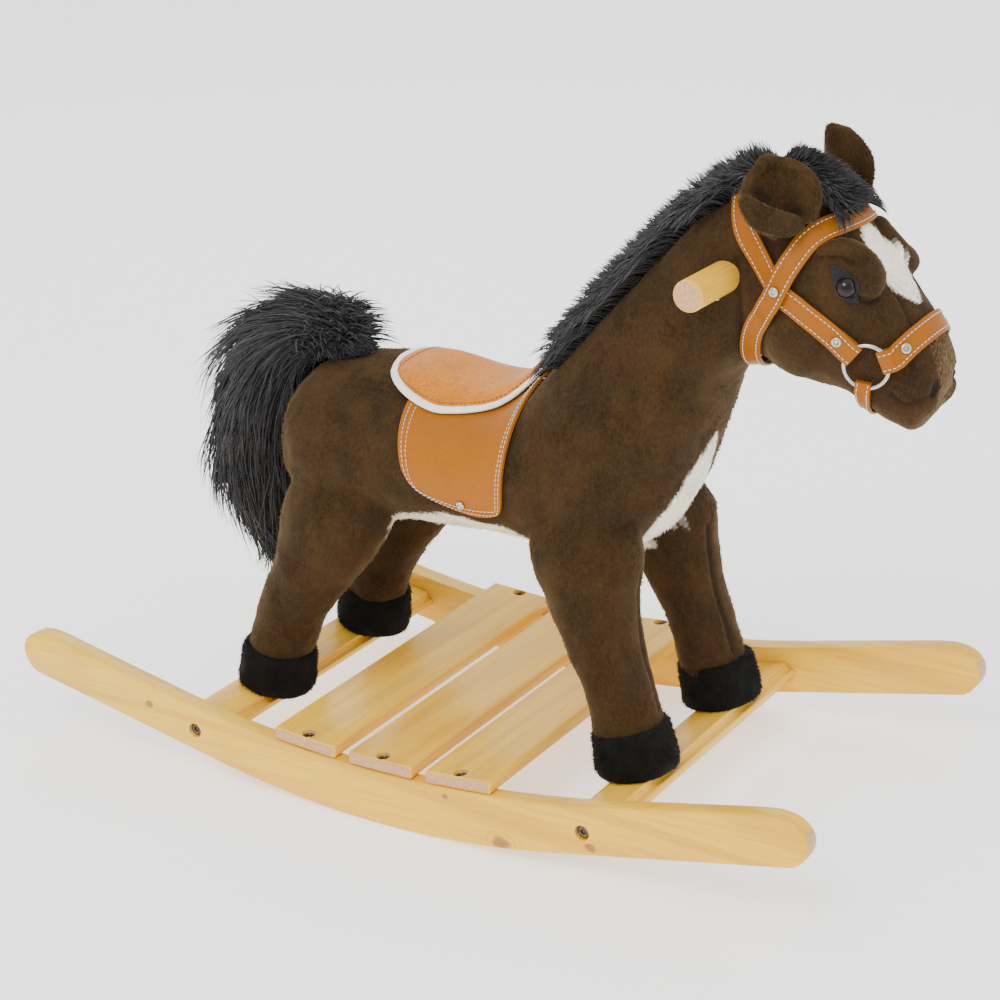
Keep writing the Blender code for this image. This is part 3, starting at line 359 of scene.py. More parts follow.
def settle(piece, body, slot, *nodes):
    """The piece rides on a body and stands for CAD nodes, which it hides. The slot is not used."""
    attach(piece, body)
    if nodes:
        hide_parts(*nodes)


def drill_spots(node):
    """Middles of the fasteners that go into a board."""
    low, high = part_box(node)
    spots = []
    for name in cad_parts:
        if "bolt" in name or "screw" in name:
            a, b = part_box(name)
            if all(a[k] < high[k] + 0.002 and b[k] > low[k] - 0.002 for k in range(3)):
                spots.append((a + b) / 2)
    return spots


def sanded_board(node, rounding, finish, sharp=math.radians(30)):
    """A board whose long edges are rounded, away from the holes in it."""
    board = node_copy(node, node + "_board")
    spots = drill_spots(node)
    mesh = bmesh.new()
    mesh.from_mesh(board.data)
    for edge in mesh.edges:
        middle = (edge.verts[0].co + edge.verts[1].co) / 2
        clear = all(
            min((middle - spot).xz.length, (middle - spot).xy.length) > 0.009 for spot in spots
        )
        corner = len(edge.link_faces) == 2 and edge.calc_face_angle() > sharp
        edge.select_set(corner and clear)
    mesh.select_flush(False)
    mesh.to_mesh(board.data)
    mesh.free()
    select_only(board)
    bpy.ops.object.mode_set(mode="EDIT")
    bpy.ops.mesh.select_mode(type="EDGE")
    bpy.ops.mesh.bevel(offset=rounding, segments=3, clamp_overlap=True)
    bpy.ops.object.mode_set(mode="OBJECT")
    bpy.ops.object.shade_smooth_by_angle(angle=math.radians(32))
    board.data.materials.append(finish)
    settle(board, BODY, "lacquered_pine", node)
    return board


ROCKER_KNOTS = {
    "right": (((0.105, -0.18, 0.014), 0.0062), ((0.190, -0.18, 0.032), 0.0042),
              ((-0.262, -0.18, 0.058), 0.0036), ((0.052, -0.18, 0.044), 0.0026)),
    "left": (((-0.150, 0.18, 0.036), 0.0055), ((0.075, 0.18, 0.020), 0.0044),
             ((0.245, 0.18, 0.060), 0.0036)),
}
for side_name, side in SIDES:
    shift = (0, side * 0.6, 0.1)
    finish = timber_finish("rocker_pine_" + side_name, shift=shift, knots=ROCKER_KNOTS[side_name])
    sanded_board("rocker_" + side_name, ROCKER_ROUNDING, finish)

for node, shift, warmth in (
    ("slat_rear", (0.31, 0.7, 0.2), 0.06),
    ("slat_middle", (0.93, 1.9, 0.5), 0.16),
    ("slat_front", (1.70, 2.6, 0.8), 0.02),
    ("crossbar_rear", (2.30, 3.4, 1.1), 0.04),
    ("crossbar_front", (2.90, 4.3, 1.5), 0.08),
):
    finish = timber_finish(node + "_pine", math.pi / 2, shift, warmth=warmth)
    sanded_board(node, BOARD_ROUNDING, finish)


# ---------------------------------------------------------------- handle
# A hardwood dowel through the neck, a grip on each side, with its ends chamfered.

HANDLE_ROUNDING = 0.0016
handle_finish = timber_finish("handle_dowel_wood", math.pi / 2, (4.1, 5.2, 2.2), warmth=0.05)
sanded_board("handle_dowel", HANDLE_ROUNDING, handle_finish, sharp=math.radians(35))

# ---------------------------------------------------------------- fasteners
# Socket screws with a dark bronze coating hold the slats down and the rockers to the
# crossbars. Zinc-plated ones come up through the crossbars, inside the hooves.

# Head radius, head height, shank radius and socket radius of each kind of fastener
FASTENERS = {
    "_screw_": (0.0052, 0.0032, 0.0022, 0.0021),
    "rocker_bolt_": (0.0056, 0.0040, 0.0030, 0.0023),
    "hoof_bolt_": (0.0062, 0.0045, 0.0030, 0.0026),
}
BRONZE = (0.105, 0.075, 0.052, 1)
BRONZE_WORN = (0.30, 0.215, 0.13, 1)
ZINC = (0.60, 0.60, 0.58, 1)
ZINC_WORN = (0.74, 0.73, 0.70, 1)


def metal_finish(name, colour, worn, roughness, fine=700.0):
    """Bare or coated metal: cloudy roughness, and a coating rubbed thin in small spots."""
    material, tree, shader, where = new_finish(name)
    cloud = add_noise(tree, where.outputs["Object"], 160.0, 3.0)
    rub = add_noise(tree, where.outputs["Object"], fine, 4.0)
    share = spread(tree, rub.outputs["Fac"], 0.5, 0.72)
    tree.links.new(blend_colours(tree, share, colour, worn), shader.inputs["Base Color"])
    rough = maths(tree, "MULTIPLY_ADD", cloud.outputs["Fac"], 0.22, roughness - 0.11)
    tree.links.new(rough, shader.inputs["Roughness"])
    add_relief(tree, shader, rub.outputs["Fac"], 0.12, 0.0003)
    shader.inputs["Metallic"].default_value = 1.0
    return material


def turned_piece(name, rows, place, axis, finish, segments=24):
    """A closed turned piece. rows are radius, height and whether the ring is a hexagon."""
    turn = Vector((0, 0, 1)).rotation_difference(axis).to_matrix().to_4x4()
    shape = bmesh.new()
    rings = []
    for radius, height, hexagon in rows:
        ring = []
        for step in range(segments):
            angle = 2 * math.pi * step / segments
            off_flat = (angle + math.pi / 6) % (math.pi / 3) - math.pi / 6
            reach = radius / math.cos(off_flat) if hexagon else radius
            ring.append(shape.verts.new((reach * math.cos(angle), reach * math.sin(angle), height)))
        rings.append(ring)
    for low, high in zip(rings, rings[1:]):
        for k in range(segments):
            after = (k + 1) % segments
            shape.faces.new((low[k], low[after], high[after], high[k]))
    shape.faces.new(rings[0])
    shape.faces.new(rings[-1])
    bmesh.ops.recalc_face_normals(shape, faces=shape.faces)
    bmesh.ops.transform(shape, matrix=Matrix.Translation(place) @ turn, verts=shape.verts)
    piece = new_piece(name, shape, finish)
    select_only(piece)
    bpy.ops.object.shade_smooth_by_angle(angle=math.radians(35))
    return piece


def new_piece(name, shape, finish):
    """An object made of a bmesh, which is freed, with its material."""
    mesh = bpy.data.meshes.new(name)
    shape.to_mesh(mesh)
    shape.free()
    mesh.materials.append(finish)
    piece = bpy.data.objects.new(name, mesh)
    bpy.context.scene.collection.objects.link(piece)
    return piece


def node_points(node):
    points = np.array([v.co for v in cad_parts[node].data.vertices], float)
    return np.unique(points.round(6), axis=0)


def bolt_line(node):
    """The middle of a bolt's outer end, the way its head points, and its length."""
    points = node_points(node)
    middle = points.mean(0)
    axis = np.linalg.svd(points - middle)[2][0]
    reach = (points - middle) @ axis
    radial = np.linalg.norm(points - middle - np.outer(reach, axis), axis=1)
    if reach[radial.argmax()] < 0:
        axis, reach = -axis, -reach
    return Vector(middle + axis * reach.max()), Vector(axis), float(np.ptp(reach))


bronze_finish = metal_finish("bronze_coating", BRONZE, BRONZE_WORN, 0.40)
zinc_finish = metal_finish("zinc_plating", ZINC, ZINC_WORN, 0.34)
for node in sorted(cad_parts):
    kind = next((k for k in FASTENERS if k in node), None)
    if kind:
        head, depth, shank, socket = FASTENERS[kind]
        top, axis, length = bolt_line(node)
        zinc = kind == "hoof_bolt_"
        rows = (
            (socket * 0.25, -depth * 0.72, False), (socket * 0.8, -depth * 0.66, True),
            (socket, -depth * 0.55, True), (socket, -0.0003, True), (socket + 0.0003, 0, True),
            (head * 0.86, 0, False), (head * 0.96, -0.0003, False), (head, -0.0009, False),
            (head, -depth * 0.86, False), (head * 0.97, -depth, False), (shank, -depth - 0.0002, False),
            (shank, -length + shank, False), (shank * 0.55, -length, False),
        )
        bolt = turned_piece(node + "_socket", rows, top, axis, zinc_finish if zinc else bronze_finish)
        settle(bolt, BODY, "zinc_hardware" if zinc else "bronze_hardware", node)


# ---------------------------------------------------------------- inner timber
# A spine board, a neck post and four leg posts of plain sawn pine carry the stuffed horse.
# They are inside the plush, with a rough-sawn finish, and stay clear of its skin.

POST_SHARE = 0.80  # of the posts' thickness, to leave room for the stuffing

for node in sorted(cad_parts):
    if node in ("spine_board", "neck_post") or node.startswith("leg_post_"):
        turn = 0.0 if node == "spine_board" else math.pi / 2
        sawn = timber_finish(node + "_sawn_pine", turn, (0.4, 6.1, 0.3), warmth=0.12)
        sawn.node_tree.nodes["Principled BSDF"].inputs["Coat Weight"].default_value = 0.0
        timber = node_copy(node, node + "_timber")
        places = np.array([v.co for v in timber.data.vertices])
        middle = places.mean(0)
        length_way = np.linalg.svd(places - middle)[2][0]
        axis = middle + np.outer((places - middle) @ length_way, length_way)
        timber.data.vertices.foreach_set("co", (axis + (places - axis) * POST_SHARE).ravel())
        timber.data.materials.append(sawn)
        settle(timber, BODY, "lacquered_pine", node)


# ---------------------------------------------------------------- plush coat
# Body, neck, head and legs are sewn from mottled brown plush and stuffed hard. Places on it
# are counted in sections from the rump to the lips, and in degrees down from the ridge.

HANDLE_IN_HORSE = Vector((0.260, 0, 0.424))
low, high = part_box("handle_dowel")
HORSE = (low + high) / 2 - HANDLE_IN_HORSE
HORSE.y = 0

# Sections from the rump to the lips: top x, top z, low x, low z, half width
COAT_SECTIONS = (
    (-0.1780, 0.250, -0.1760, 0.208, 0.026), (-0.1720, 0.274, -0.1740, 0.180, 0.054),
    (-0.1500, 0.290, -0.1520, 0.160, 0.075), (-0.1050, 0.299, -0.1080, 0.155, 0.086),
    (-0.0520, 0.293, -0.0540, 0.162, 0.086), (0.0000, 0.284, 0.0000, 0.167, 0.085),
    (0.0450, 0.287, 0.0550, 0.168, 0.087), (0.0750, 0.306, 0.1100, 0.163, 0.089),
    (0.1040, 0.340, 0.1600, 0.171, 0.086), (0.1340, 0.374, 0.1930, 0.202, 0.078),
    (0.1650, 0.407, 0.2140, 0.245, 0.070), (0.2000, 0.443, 0.2300, 0.290, 0.062),
    (0.2410, 0.479, 0.2460, 0.330, 0.056), (0.2920, 0.501, 0.2700, 0.351, 0.051),
    (0.3200, 0.494, 0.3000, 0.339, 0.056), (0.3480, 0.469, 0.3220, 0.337, 0.055),
    (0.3700, 0.441, 0.3440, 0.333, 0.050), (0.3910, 0.416, 0.3620, 0.325, 0.044),
    (0.4080, 0.395, 0.3750, 0.318, 0.040), (0.4210, 0.371, 0.3880, 0.312, 0.037),
    (0.4235, 0.348, 0.4020, 0.310, 0.031), (0.4170, 0.331, 0.4110, 0.319, 0.016),
)
LIPS = len(COAT_SECTIONS) - 1
FULLNESS = 0.90  # below 1 the sections are squarer than an ellipse
# Leg sections above the hoof, upwards: x, y, z, half length in X, half width in Y
LEGS = {
    "front": (
        (0.1835, 0.0740, 0.029, 0.0302, 0.0302), (0.1730, 0.0740, 0.072, 0.0300, 0.0310),
        (0.1610, 0.0730, 0.102, 0.0320, 0.0330), (0.1470, 0.0700, 0.145, 0.0400, 0.0370),
        (0.1380, 0.0620, 0.185, 0.0500, 0.0390), (0.1280, 0.0440, 0.230, 0.0400, 0.0260),
    ),
    "rear": (
        (-0.1790, 0.0740, 0.029, 0.0302, 0.0298), (-0.1640, 0.0740, 0.068, 0.0330, 0.0310),
        (-0.1420, 0.0730, 0.105, 0.0400, 0.0340), (-0.1210, 0.0700, 0.140, 0.0470, 0.0380),
        (-0.1100, 0.0620, 0.180, 0.0540, 0.0390), (-0.1080, 0.0440, 0.225, 0.0420, 0.0260),
    ),
}
COAT_VOXEL = 0.0026
PRESSED = ("saddle_seat", "saddle_flap_right", "saddle_flap_left", "crown_strap", "brow_strap",
           "nose_strap", "chin_strap")
PRESS_REACH = 0.009
# A plush fold that arches over each eye and hangs down in front of it: place, degrees, radius
EYELID = (
    (14.62, 54, 0.0035), (14.82, 49, 0.0058), (15.05, 40, 0.0070), (15.45, 29, 0.0078),
    (15.85, 26, 0.0090), (16.08, 31, 0.0112), (16.12, 38, 0.0122), (16.16, 45, 0.0112), (16.18, 50, 0.0060),
)
EYELID_SINK = -0.0016
BLAZE = ((15.1, 4), (15.4, 12), (15.9, 18), (16.4, 22), (16.75, 20), (17.1, 12), (17.45, 0.5))
CHEST = ((7.9, 9), (8.3, 20), (9.0, 23), (9.8, 17), (10.4, 8), (10.75, 0.5))
BELLY = ((3.2, 12), (4.2, 50), (5.2, 62), (6.2, 56), (7.2, 30), (7.9, 9))
# Where a painted sheen lightens the muzzle's top and front towards tan
MUZZLE_SHEEN = ((18.0, 0.5), (18.2, 22), (18.9, 24), (19.7, 25), (20.3, 34), (20.8, 44), (21.0, 60))
MOUTH = ((18.35, 98), (18.8, 97), (19.15, 93), (19.5, 78), (19.7, 64), (20.05, 45))
FACE_SEAM = ((16.75, 20), (17.3, 26), (17.7, 31))
NOSTRIL = (19.8, 36)
LOBE_EDGE = ((15.72, 34), (15.76, 42), (15.92, 51), (16.15, 55), (16.40, 51), (16.54, 42), (16.50, 33))
LID_EDGE = ((14.75, 57), (15.0, 50), (15.3, 42), (15.6, 37), (15.72, 34))
BROW_EDGE = ((14.65, 46), (14.85, 36), (15.2, 24), (15.6, 17), (16.05, 17))
CHEEK_HOLLOW = ((18.0, 60), (18.6, 62), (19.2, 58))


def along(points, where):
    """A Catmull-Rom curve through rows of numbers, at where from 0 to 1."""
    last = len(points) - 1
    position = min(max(where, 0.0), 1.0) * last
    index = min(int(position), last - 1)
    t = position - index
    rows = [points[min(max(index + k, 0), last)] for k in (-1, 0, 1, 2)]
    weights = (
        (-t + 2 * t**2 - t**3) / 2, (2 - 5 * t**2 + 3 * t**3) / 2,
        (t + 4 * t**2 - 3 * t**3) / 2, (-(t**2) + t**3) / 2,
    )
    return [sum(w * v for w, v in zip(weights, column)) for column in zip(*rows)]


def section_point(section, angle):
    """A point on a plush section, where angle 0 is its top."""
    top_x, top_z, low_x, low_z, half_width = section
    middle = Vector(((top_x + low_x) / 2, 0, (top_z + low_z) / 2))
    up = Vector((top_x - low_x, 0, top_z - low_z)) / 2
    rise, side = math.cos(angle), math.sin(angle)
    rise = math.copysign(abs(rise) ** FULLNESS, rise)
    side = math.copysign(abs(side) ** FULLNESS, side)
    return HORSE + middle + up * rise + Vector((0, side * half_width, 0))


def coat_section(place):
    return along(COAT_SECTIONS, place / LIPS)


def coat_spot(where, degrees, lift=0.0):
    """A point on the plush, lifted off it along its normal, and that normal."""
    angle = math.radians(degrees)
    ahead = section_point(coat_section(where + 0.1), angle)
    behind = section_point(coat_section(where - 0.1), angle)
    section = coat_section(where)
    over = section_point(section, angle + 0.1)
    under = section_point(section, angle - 0.1)
    normal = (ahead - behind).cross(over - under).normalized()
    spot = section_point(section, angle)
    if normal.dot(spot - section_point(section, angle + math.pi)) < 0:
        normal.negate()
    return spot + normal * lift, normal


def add_loft(shape, rings, closed=False):
    """Adds a closed skin over rings of points to a bmesh."""
    made = [[shape.verts.new(point) for point in ring] for ring in rings]
    pairs = list(zip(made, made[1:])) + ([(made[-1], made[0])] if closed else [])
    count = len(made[0])
    faces = []
    for first, second in pairs:
        for k in range(count):
            after = (k + 1) % count
            faces.append(shape.faces.new((first[k], first[after], second[after], second[k])))
    if not closed:
        faces += [shape.faces.new(made[0]), shape.faces.new(made[-1])]
    bmesh.ops.recalc_face_normals(shape, faces=faces)


def circle_angles(count):
    return [2 * math.pi * k / count for k in range(count)]


def tube_rings(centres, radii, count=12, flat=1.0, outwards=None):
    """Rings round a curved line. flat thins them along outwards."""
    rings = []
    for k, centre in enumerate(centres):
        course = (centres[min(k + 1, len(centres) - 1)] - centres[max(k - 1, 0)]).normalized()
        out = outwards[k] if outwards else Vector((0, 0, 1))
        out = (out - course * out.dot(course)).normalized()
        across = course.cross(out)
        rings.append([
            centre + (across * math.cos(a) + out * math.sin(a) * flat) * radii[k]
            for a in circle_angles(count)
        ])
    return rings


def leg_rings(sections, side):
    rings = []
    for step in range(31):
        x, y, z, half_x, half_y = along(sections, step / 30)
        rings.append([
            HORSE + Vector((x + half_x * math.cos(a), side * y + half_y * math.sin(a), z))
            for a in circle_angles(28)
        ])
    return rings


def stroke_distance(points, course):
    """How far each point is from a line of vectors."""
    nearest = np.full(len(points), 1e9)
    for start, end in zip(course, course[1:]):
        a, run = np.array(start), np.array(end - start)
        t = np.clip(((points - a) @ run) / max(float(run @ run), 1e-12), 0, 1)
        nearest = np.minimum(nearest, np.linalg.norm(points - a - t[:, None] * run, axis=1))
    return nearest


def mesh_numbers(mesh):
    """A mesh's vertex places and normals as arrays."""
    places = np.zeros(len(mesh.vertices) * 3)
    mesh.vertices.foreach_get("co", places)
    normals = np.zeros(len(mesh.vertices) * 3)
    mesh.vertex_normals.foreach_get("vector", normals)
    return places.reshape(-1, 3), normals.reshape(-1, 3)


def paint(mesh, name, values):
    attribute = mesh.attributes.new(name, "FLOAT", "POINT")
    attribute.data.foreach_set("value", np.asarray(values, np.float32))


def covered_tree(nodes):
    """A search tree of the CAD nodes that lie on the plush."""
    points, faces = [], []
    for node in nodes:
        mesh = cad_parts[node].data
        start = len(points)
        points += [vertex.co.copy() for vertex in mesh.vertices]
        faces += [tuple(start + k for k in polygon.vertices) for polygon in mesh.polygons]
    return BVHTree.FromPolygons(points, faces)


def soft_step(values, low, high):
    t = np.clip((values - low) / (high - low), 0, 1)
    return t * t * (3 - 2 * t)


shape = bmesh.new()
add_loft(shape, [
    [section_point(coat_section(step / 4), angle) for angle in circle_angles(56)]
    for step in range(LIPS * 4 + 1)
])
for sections in LEGS.values():
    for side_name, side in SIDES:
        add_loft(shape, leg_rings(sections, side))
for side_name, side in SIDES:
    rows = [along(EYELID, step / 24) for step in range(25)]
    spots = [coat_spot(where, side * degrees, -EYELID_SINK) for where, degrees, radius in rows]
    add_loft(shape, tube_rings([s for s, n in spots], [r[2] for r in rows], outwards=[n for s, n in spots]))

# Stuffing pushes these out: place on the side, x, z and radii, and how far out they stand
for x, y, z, radii in (
    (-0.108, 0.052, 0.222, (0.064, 0.036, 0.060)),
    (0.132, 0.050, 0.232, (0.050, 0.036, 0.056)),
    (0.318, 0.026, 0.388, (0.034, 0.034, 0.044)),
    (0.402, 0.017, 0.338, (0.020, 0.020, 0.018)),
):
    for side_name, side in SIDES:
        made = bmesh.ops.create_icosphere(shape, subdivisions=3, radius=1.0)["verts"]
        bmesh.ops.scale(shape, vec=radii, verts=made)
        bmesh.ops.translate(shape, vec=HORSE + Vector((x, side * y, z)), verts=made)
coat = new_piece("plush_coat", shape, None)
coat.data.materials.clear()
remesh = coat.modifiers.new("skin", "REMESH")
remesh.mode = "VOXEL"
remesh.voxel_size = COAT_VOXEL
relax = coat.modifiers.new("relax", "SMOOTH")
relax.factor = 0.5
relax.iterations = 4
apply_modifiers(coat)

# The head is cut finer than the body, for the face's folds
shape = bmesh.new()
shape.from_mesh(coat.data)
neck = HORSE.x + 0.300
edges = [e for e in shape.edges if min(v.co.x for v in e.verts) > neck]
bmesh.ops.subdivide_edges(shape, edges=edges, cuts=1, use_grid_fill=True, smooth=0.6)
bmesh.ops.triangulate(shape, faces=[f for f in shape.faces if len(f.verts) > 4])
shape.to_mesh(coat.data)
shape.free()

places, normals = mesh_numbers(coat.data)
ridge_tree = KDTree(LIPS * 10 * 120 + 120)
for step in range(LIPS * 10 + 1):
    for turn in range(120):
        ridge_tree.insert(section_point(coat_section(step / 10), math.radians(turn * 3)), step * 120 + turn)
ridge_tree.balance()
nearest = np.array([ridge_tree.find(place)[1] for place in places])
coat_where = nearest // 120 / 10
coat_degrees = (nearest % 120) * 3.0
coat_degrees = np.where(coat_degrees > 180, 360 - coat_degrees, coat_degrees)
on_trunk = np.array([ridge_tree.find(place)[2] for place in places]) < 0.02


def within(edge, from_below=False):
    """1 inside a marking whose half width in degrees is given along the coat, and 0 outside."""
    wheres, widths = zip(*edge)
    width = np.interp(coat_where, wheres, widths, left=-20, right=-20)
    degrees = 180 - coat_degrees if from_below else coat_degrees
    return soft_step(width - degrees, -2.0, 2.0) * on_trunk


# cream is the white markings; rim is the painted sheen on the muzzle
marks = {
    "cream": np.maximum.reduce([within(BLAZE), within(CHEST, True), within(BELLY, True)]),
    "rim": within(MUZZLE_SHEEN),
}
height = np.zeros(len(places))
crease_shade_and_nostril = np.zeros(len(places))
# Grooves pressed into the plush: mouth, face seam, cheek hollow, nostril, eyelid lobe and lid, brow and a neck
# line. The last number is painted shade along each groove, none in the cheek hollow; the nostril's large share
# makes its own black dot.
for course, width, depth, dark in (
    (MOUTH, 0.0022, 0.0018, 0.55), (FACE_SEAM, 0.0020, 0.0014, 0.5), (CHEEK_HOLLOW, 0.0070, 0.0022, 0.0),
    ((NOSTRIL, (NOSTRIL[0] + 0.05, NOSTRIL[1] + 3)), 0.0054, 0.0028, 2.4),
    (LOBE_EDGE, 0.0017, 0.0018, 0.75), (LID_EDGE, 0.0018, 0.0016, 0.55), (BROW_EDGE, 0.0024, 0.0012, 0.35),
    (((12.9, 139), (12.88, 120), (12.85, 101), (12.65, 79)), 0.0030, 0.0026, 0.5),
):
    for side_name, side in SIDES:
        line = [coat_spot(where, side * degrees)[0] for where, degrees in course]
        near = np.exp(-((stroke_distance(places, line) / width) ** 2))
        height -= near * depth
        crease_shade_and_nostril = np.maximum(crease_shade_and_nostril, near * dark)
# Seams pressed in down the legs, with painted shade along them
for end_name, sections in LEGS.items():
    for side_name, side in SIDES:
        rows = [along(sections, 0.12 + 0.6 * step / 8) for step in range(9)]
        front = 1 if end_name == "front" else -1
        line = [
            HORSE + Vector((x + front * half_x * 0.97, side * (y - 0.008), z)) for x, y, z, half_x, half_y in rows
        ]
        near = np.exp(-((stroke_distance(places, line) / 0.0026) ** 2))
        height -= near * 0.0022
        crease_shade_and_nostril = np.maximum(crease_shade_and_nostril, near * 0.75)
lumps = np.array([
    noise.noise(Vector(place) * 26) * 0.0016 + noise.noise(Vector(place) * 70) * 0.0009 for place in places
])
places = places + normals * (height + lumps)[:, None]

# Straps and saddle press the plush flat under them
press = covered_tree(PRESSED)
for k in range(len(places)):
    way = Vector(normals[k])
    hit = press.ray_cast(Vector(places[k]) - way * PRESS_REACH, way, PRESS_REACH + 0.0012)[0]
    if hit is not None:
        places[k] = hit - way * 0.0012
coat.data.vertices.foreach_set("co", places.ravel())
coat.data.update()
for name, values in marks.items():
    paint(coat.data, name, values)
paint(coat.data, "crease_shade_and_nostril", crease_shade_and_nostril)
# A quarter of the painted highlight on the pile's tips, on the coat itself
paint(coat.data, "tip_highlight", np.full(len(places), 0.25))
select_only(coat)
bpy.ops.object.shade_smooth()

PLUSH_DARK = (0.0176, 0.0086, 0.0022)
PLUSH_BROWN = (0.0365, 0.0176, 0.0042)
PLUSH_TIP_HIGHLIGHT = (0.0950, 0.0510, 0.0165)
PLUSH_RED = (0.0400, 0.0140, 0.0050)
PLUSH_CREAM = (0.98, 0.95, 0.84)
PLUSH_CREAM_SHADE = (0.80, 0.74, 0.60)
PLUSH_SHEEN_TAN = (0.165, 0.098, 0.042)
PLUSH_CREASE_SHADE_AND_NOSTRIL = (0.008, 0.0035, 0.0026)


def pile_group():
    """Patches of short pile: broad clumps, and single tufts. Both are masks from 0 to 1."""
    tree, start, end = new_group(
        "plush_pile", (("Vector", "Vector", None),),
        (("Clumps", "Float"), ("Tufts", "Float"), ("Patches", "Float"), ("Height", "Float")),
    )
    where = start.outputs["Vector"]
    lying = add_node(tree, "VectorMath", {0: where, 1: (1.0, 1.0, 0.55)}, operation="MULTIPLY")
    clumps = add_noise(tree, lying.outputs[0], 34.0, 4.0)
    clumps.inputs["Distortion"].default_value = 0.4
    tufts = add_noise(tree, lying.outputs[0], 520.0, 3.0)
    patches = add_noise(tree, where, 19.0, 2.0)
    relief = maths(tree, "MULTIPLY_ADD", clumps.outputs["Fac"], 0.8, tufts.outputs["Fac"])
    return filled_group(
        tree, end, Height=relief, Clumps=spread(tree, clumps.outputs["Fac"], 0.30, 0.72),
        Tufts=spread(tree, tufts.outputs["Fac"], 0.40, 0.72),
        Patches=spread(tree, patches.outputs["Fac"], 0.50, 0.68),
    )


PLUSH_PILE = pile_group()


def mark(tree, name):
    return add_node(tree, "Attribute", attribute_name=name).outputs["Fac"]


def plush_finish(name, dark, middle, light, patch):
    """Mottled plush. Marks on the mesh give cream areas, a painted sheen on the muzzle front,
    painted shade in creases with the nostril's own black, and painted highlights on the pile's tips.
    """
    material, tree, shader, where = new_finish(name)
    pile = add_node(tree, "Group", {"Vector": where.outputs["Object"]}, node_tree=PLUSH_PILE)
    colour = blend_colours(tree, pile.outputs["Clumps"], dark, middle)
    colour = blend_colours(tree, maths(tree, "MULTIPLY", pile.outputs["Patches"], 0.40), colour, patch)
    # Painted highlight on the pile's tips: the light colour, by the tip mark, stronger where the tufts noise is
    # high
    tips = maths(tree, "MULTIPLY_ADD", pile.outputs["Tufts"], 0.7, 0.1)
    tips = maths(tree, "MULTIPLY", mark(tree, "tip_highlight"), tips)
    colour = blend_colours(tree, tips, colour, light)
    cream = blend_colours(tree, pile.outputs["Tufts"], PLUSH_CREAM_SHADE, PLUSH_CREAM)
    colour = blend_colours(tree, mark(tree, "cream"), colour, cream)
    # Painted sheen on the muzzle: tan, by the rim mark
    tan = blend_colours(tree, pile.outputs["Tufts"], middle, PLUSH_SHEEN_TAN)
    colour = blend_colours(tree, maths(tree, "MULTIPLY", mark(tree, "rim"), 0.8), colour, tan)
    # Painted shade in creases and seams, and the nostril's black, by the crease mark
    colour = blend_colours(tree, mark(tree, "crease_shade_and_nostril"), colour, PLUSH_CREASE_SHADE_AND_NOSTRIL)
    tree.links.new(colour, shader.inputs["Base Color"])
    add_relief(tree, shader, pile.outputs["Height"], 0.5, 0.0010)
    shader.inputs["Roughness"].default_value = 0.92
    shader.inputs["Specular IOR Level"].default_value = 0.18
    shader.inputs["Sheen Weight"].default_value = 0.22
    shader.inputs["Sheen Roughness"].default_value = 0.45
    shader.inputs["Sheen Tint"].default_value = (0.72, 0.50, 0.24, 1)
    return material


brown_plush = plush_finish("brown_plush_pile", PLUSH_DARK, PLUSH_BROWN, PLUSH_TIP_HIGHLIGHT, PLUSH_RED)
coat.data.materials.append(brown_plush)
settle(
    coat, BODY, "brown_plush", "body", "head",
    *("leg_%s_%s" % (end, side_name) for end in LEGS for side_name, side in SIDES),
)


# ---------------------------------------------------------------- pile of the coat
# The plush has a short brushed pile that lies down and back. It is thousands of fine tufts,
# left out under the straps and the saddle, which press it flat.

COVERED = (*PRESSED, "handle_dowel")
PILE_REACH = 0.012


def mesh_scatter(mesh, count, seed, names=()):
    """Random spots spread evenly over a mesh, with normals, and the mesh's marks there."""
    random = np.random.default_rng(seed)
    mesh.calc_loop_triangles()
    corners = np.zeros(len(mesh.loop_triangles) * 3, np.int32)
    mesh.loop_triangles.foreach_get("vertices", corners)
    corners = corners.reshape(-1, 3)
    places, normals = mesh_numbers(mesh)
    a, b, c = (places[corners[:, k]] for k in range(3))
    area = np.linalg.norm(np.cross(b - a, c - a), axis=1)
    chosen = random.choice(len(corners), count, p=area / area.sum())
    shares = random.dirichlet((1, 1, 1), count)
    used = corners[chosen]
    spots = (places[used] * shares[:, :, None]).sum(1)
    ways = (normals[used] * shares[:, :, None]).sum(1)
    ways /= np.linalg.norm(ways, axis=1)[:, None]
    found = {}
    for name in names:
        values = np.zeros(len(mesh.vertices), np.float32)
        mesh.attributes[name].data.foreach_get("value", values)
        found[name] = (values[used] * shares).sum(1)
    return spots, ways, found, random


def grow_tufts(name, spots, ways, leans, lengths, widths, finish, marks, tip_highlight_strength=1.0):
    """One closed, pointed tuft at each spot. It is shaded like the surface that it grows on."""
    count = len(spots)
    side = np.cross(leans, ways)
    side /= np.linalg.norm(side, axis=1)[:, None] + 1e-9
    back = np.cross(side, leans)
    roots = spots - ways * 0.0008
    corners = np.stack([
        roots + side * widths[:, None] / 2, roots - side * widths[:, None] / 2,
        roots + back * widths[:, None] * 0.5, roots + leans * lengths[:, None],
    ], axis=1).reshape(-1, 3)
    pattern = np.array([(0, 1, 3), (1, 2, 3), (2, 0, 3), (0, 2, 1)])
    faces = (pattern[None] + 4 * np.arange(count)[:, None, None]).reshape(-1, 3)
    piece = numbers_piece(name, corners, faces, finish)
    # Painted highlight share: a tenth at each tuft's root corners, the tip highlight strength at its point
    paint(piece.data, "tip_highlight", np.tile((0.1, 0.1, 0.1, tip_highlight_strength), count))
    for key, values in marks.items():
        paint(piece.data, key, np.repeat(values, 4))
    soft = np.repeat(ways, 4, axis=0)
    piece.data.normals_split_custom_set_from_vertices(soft)
    return piece


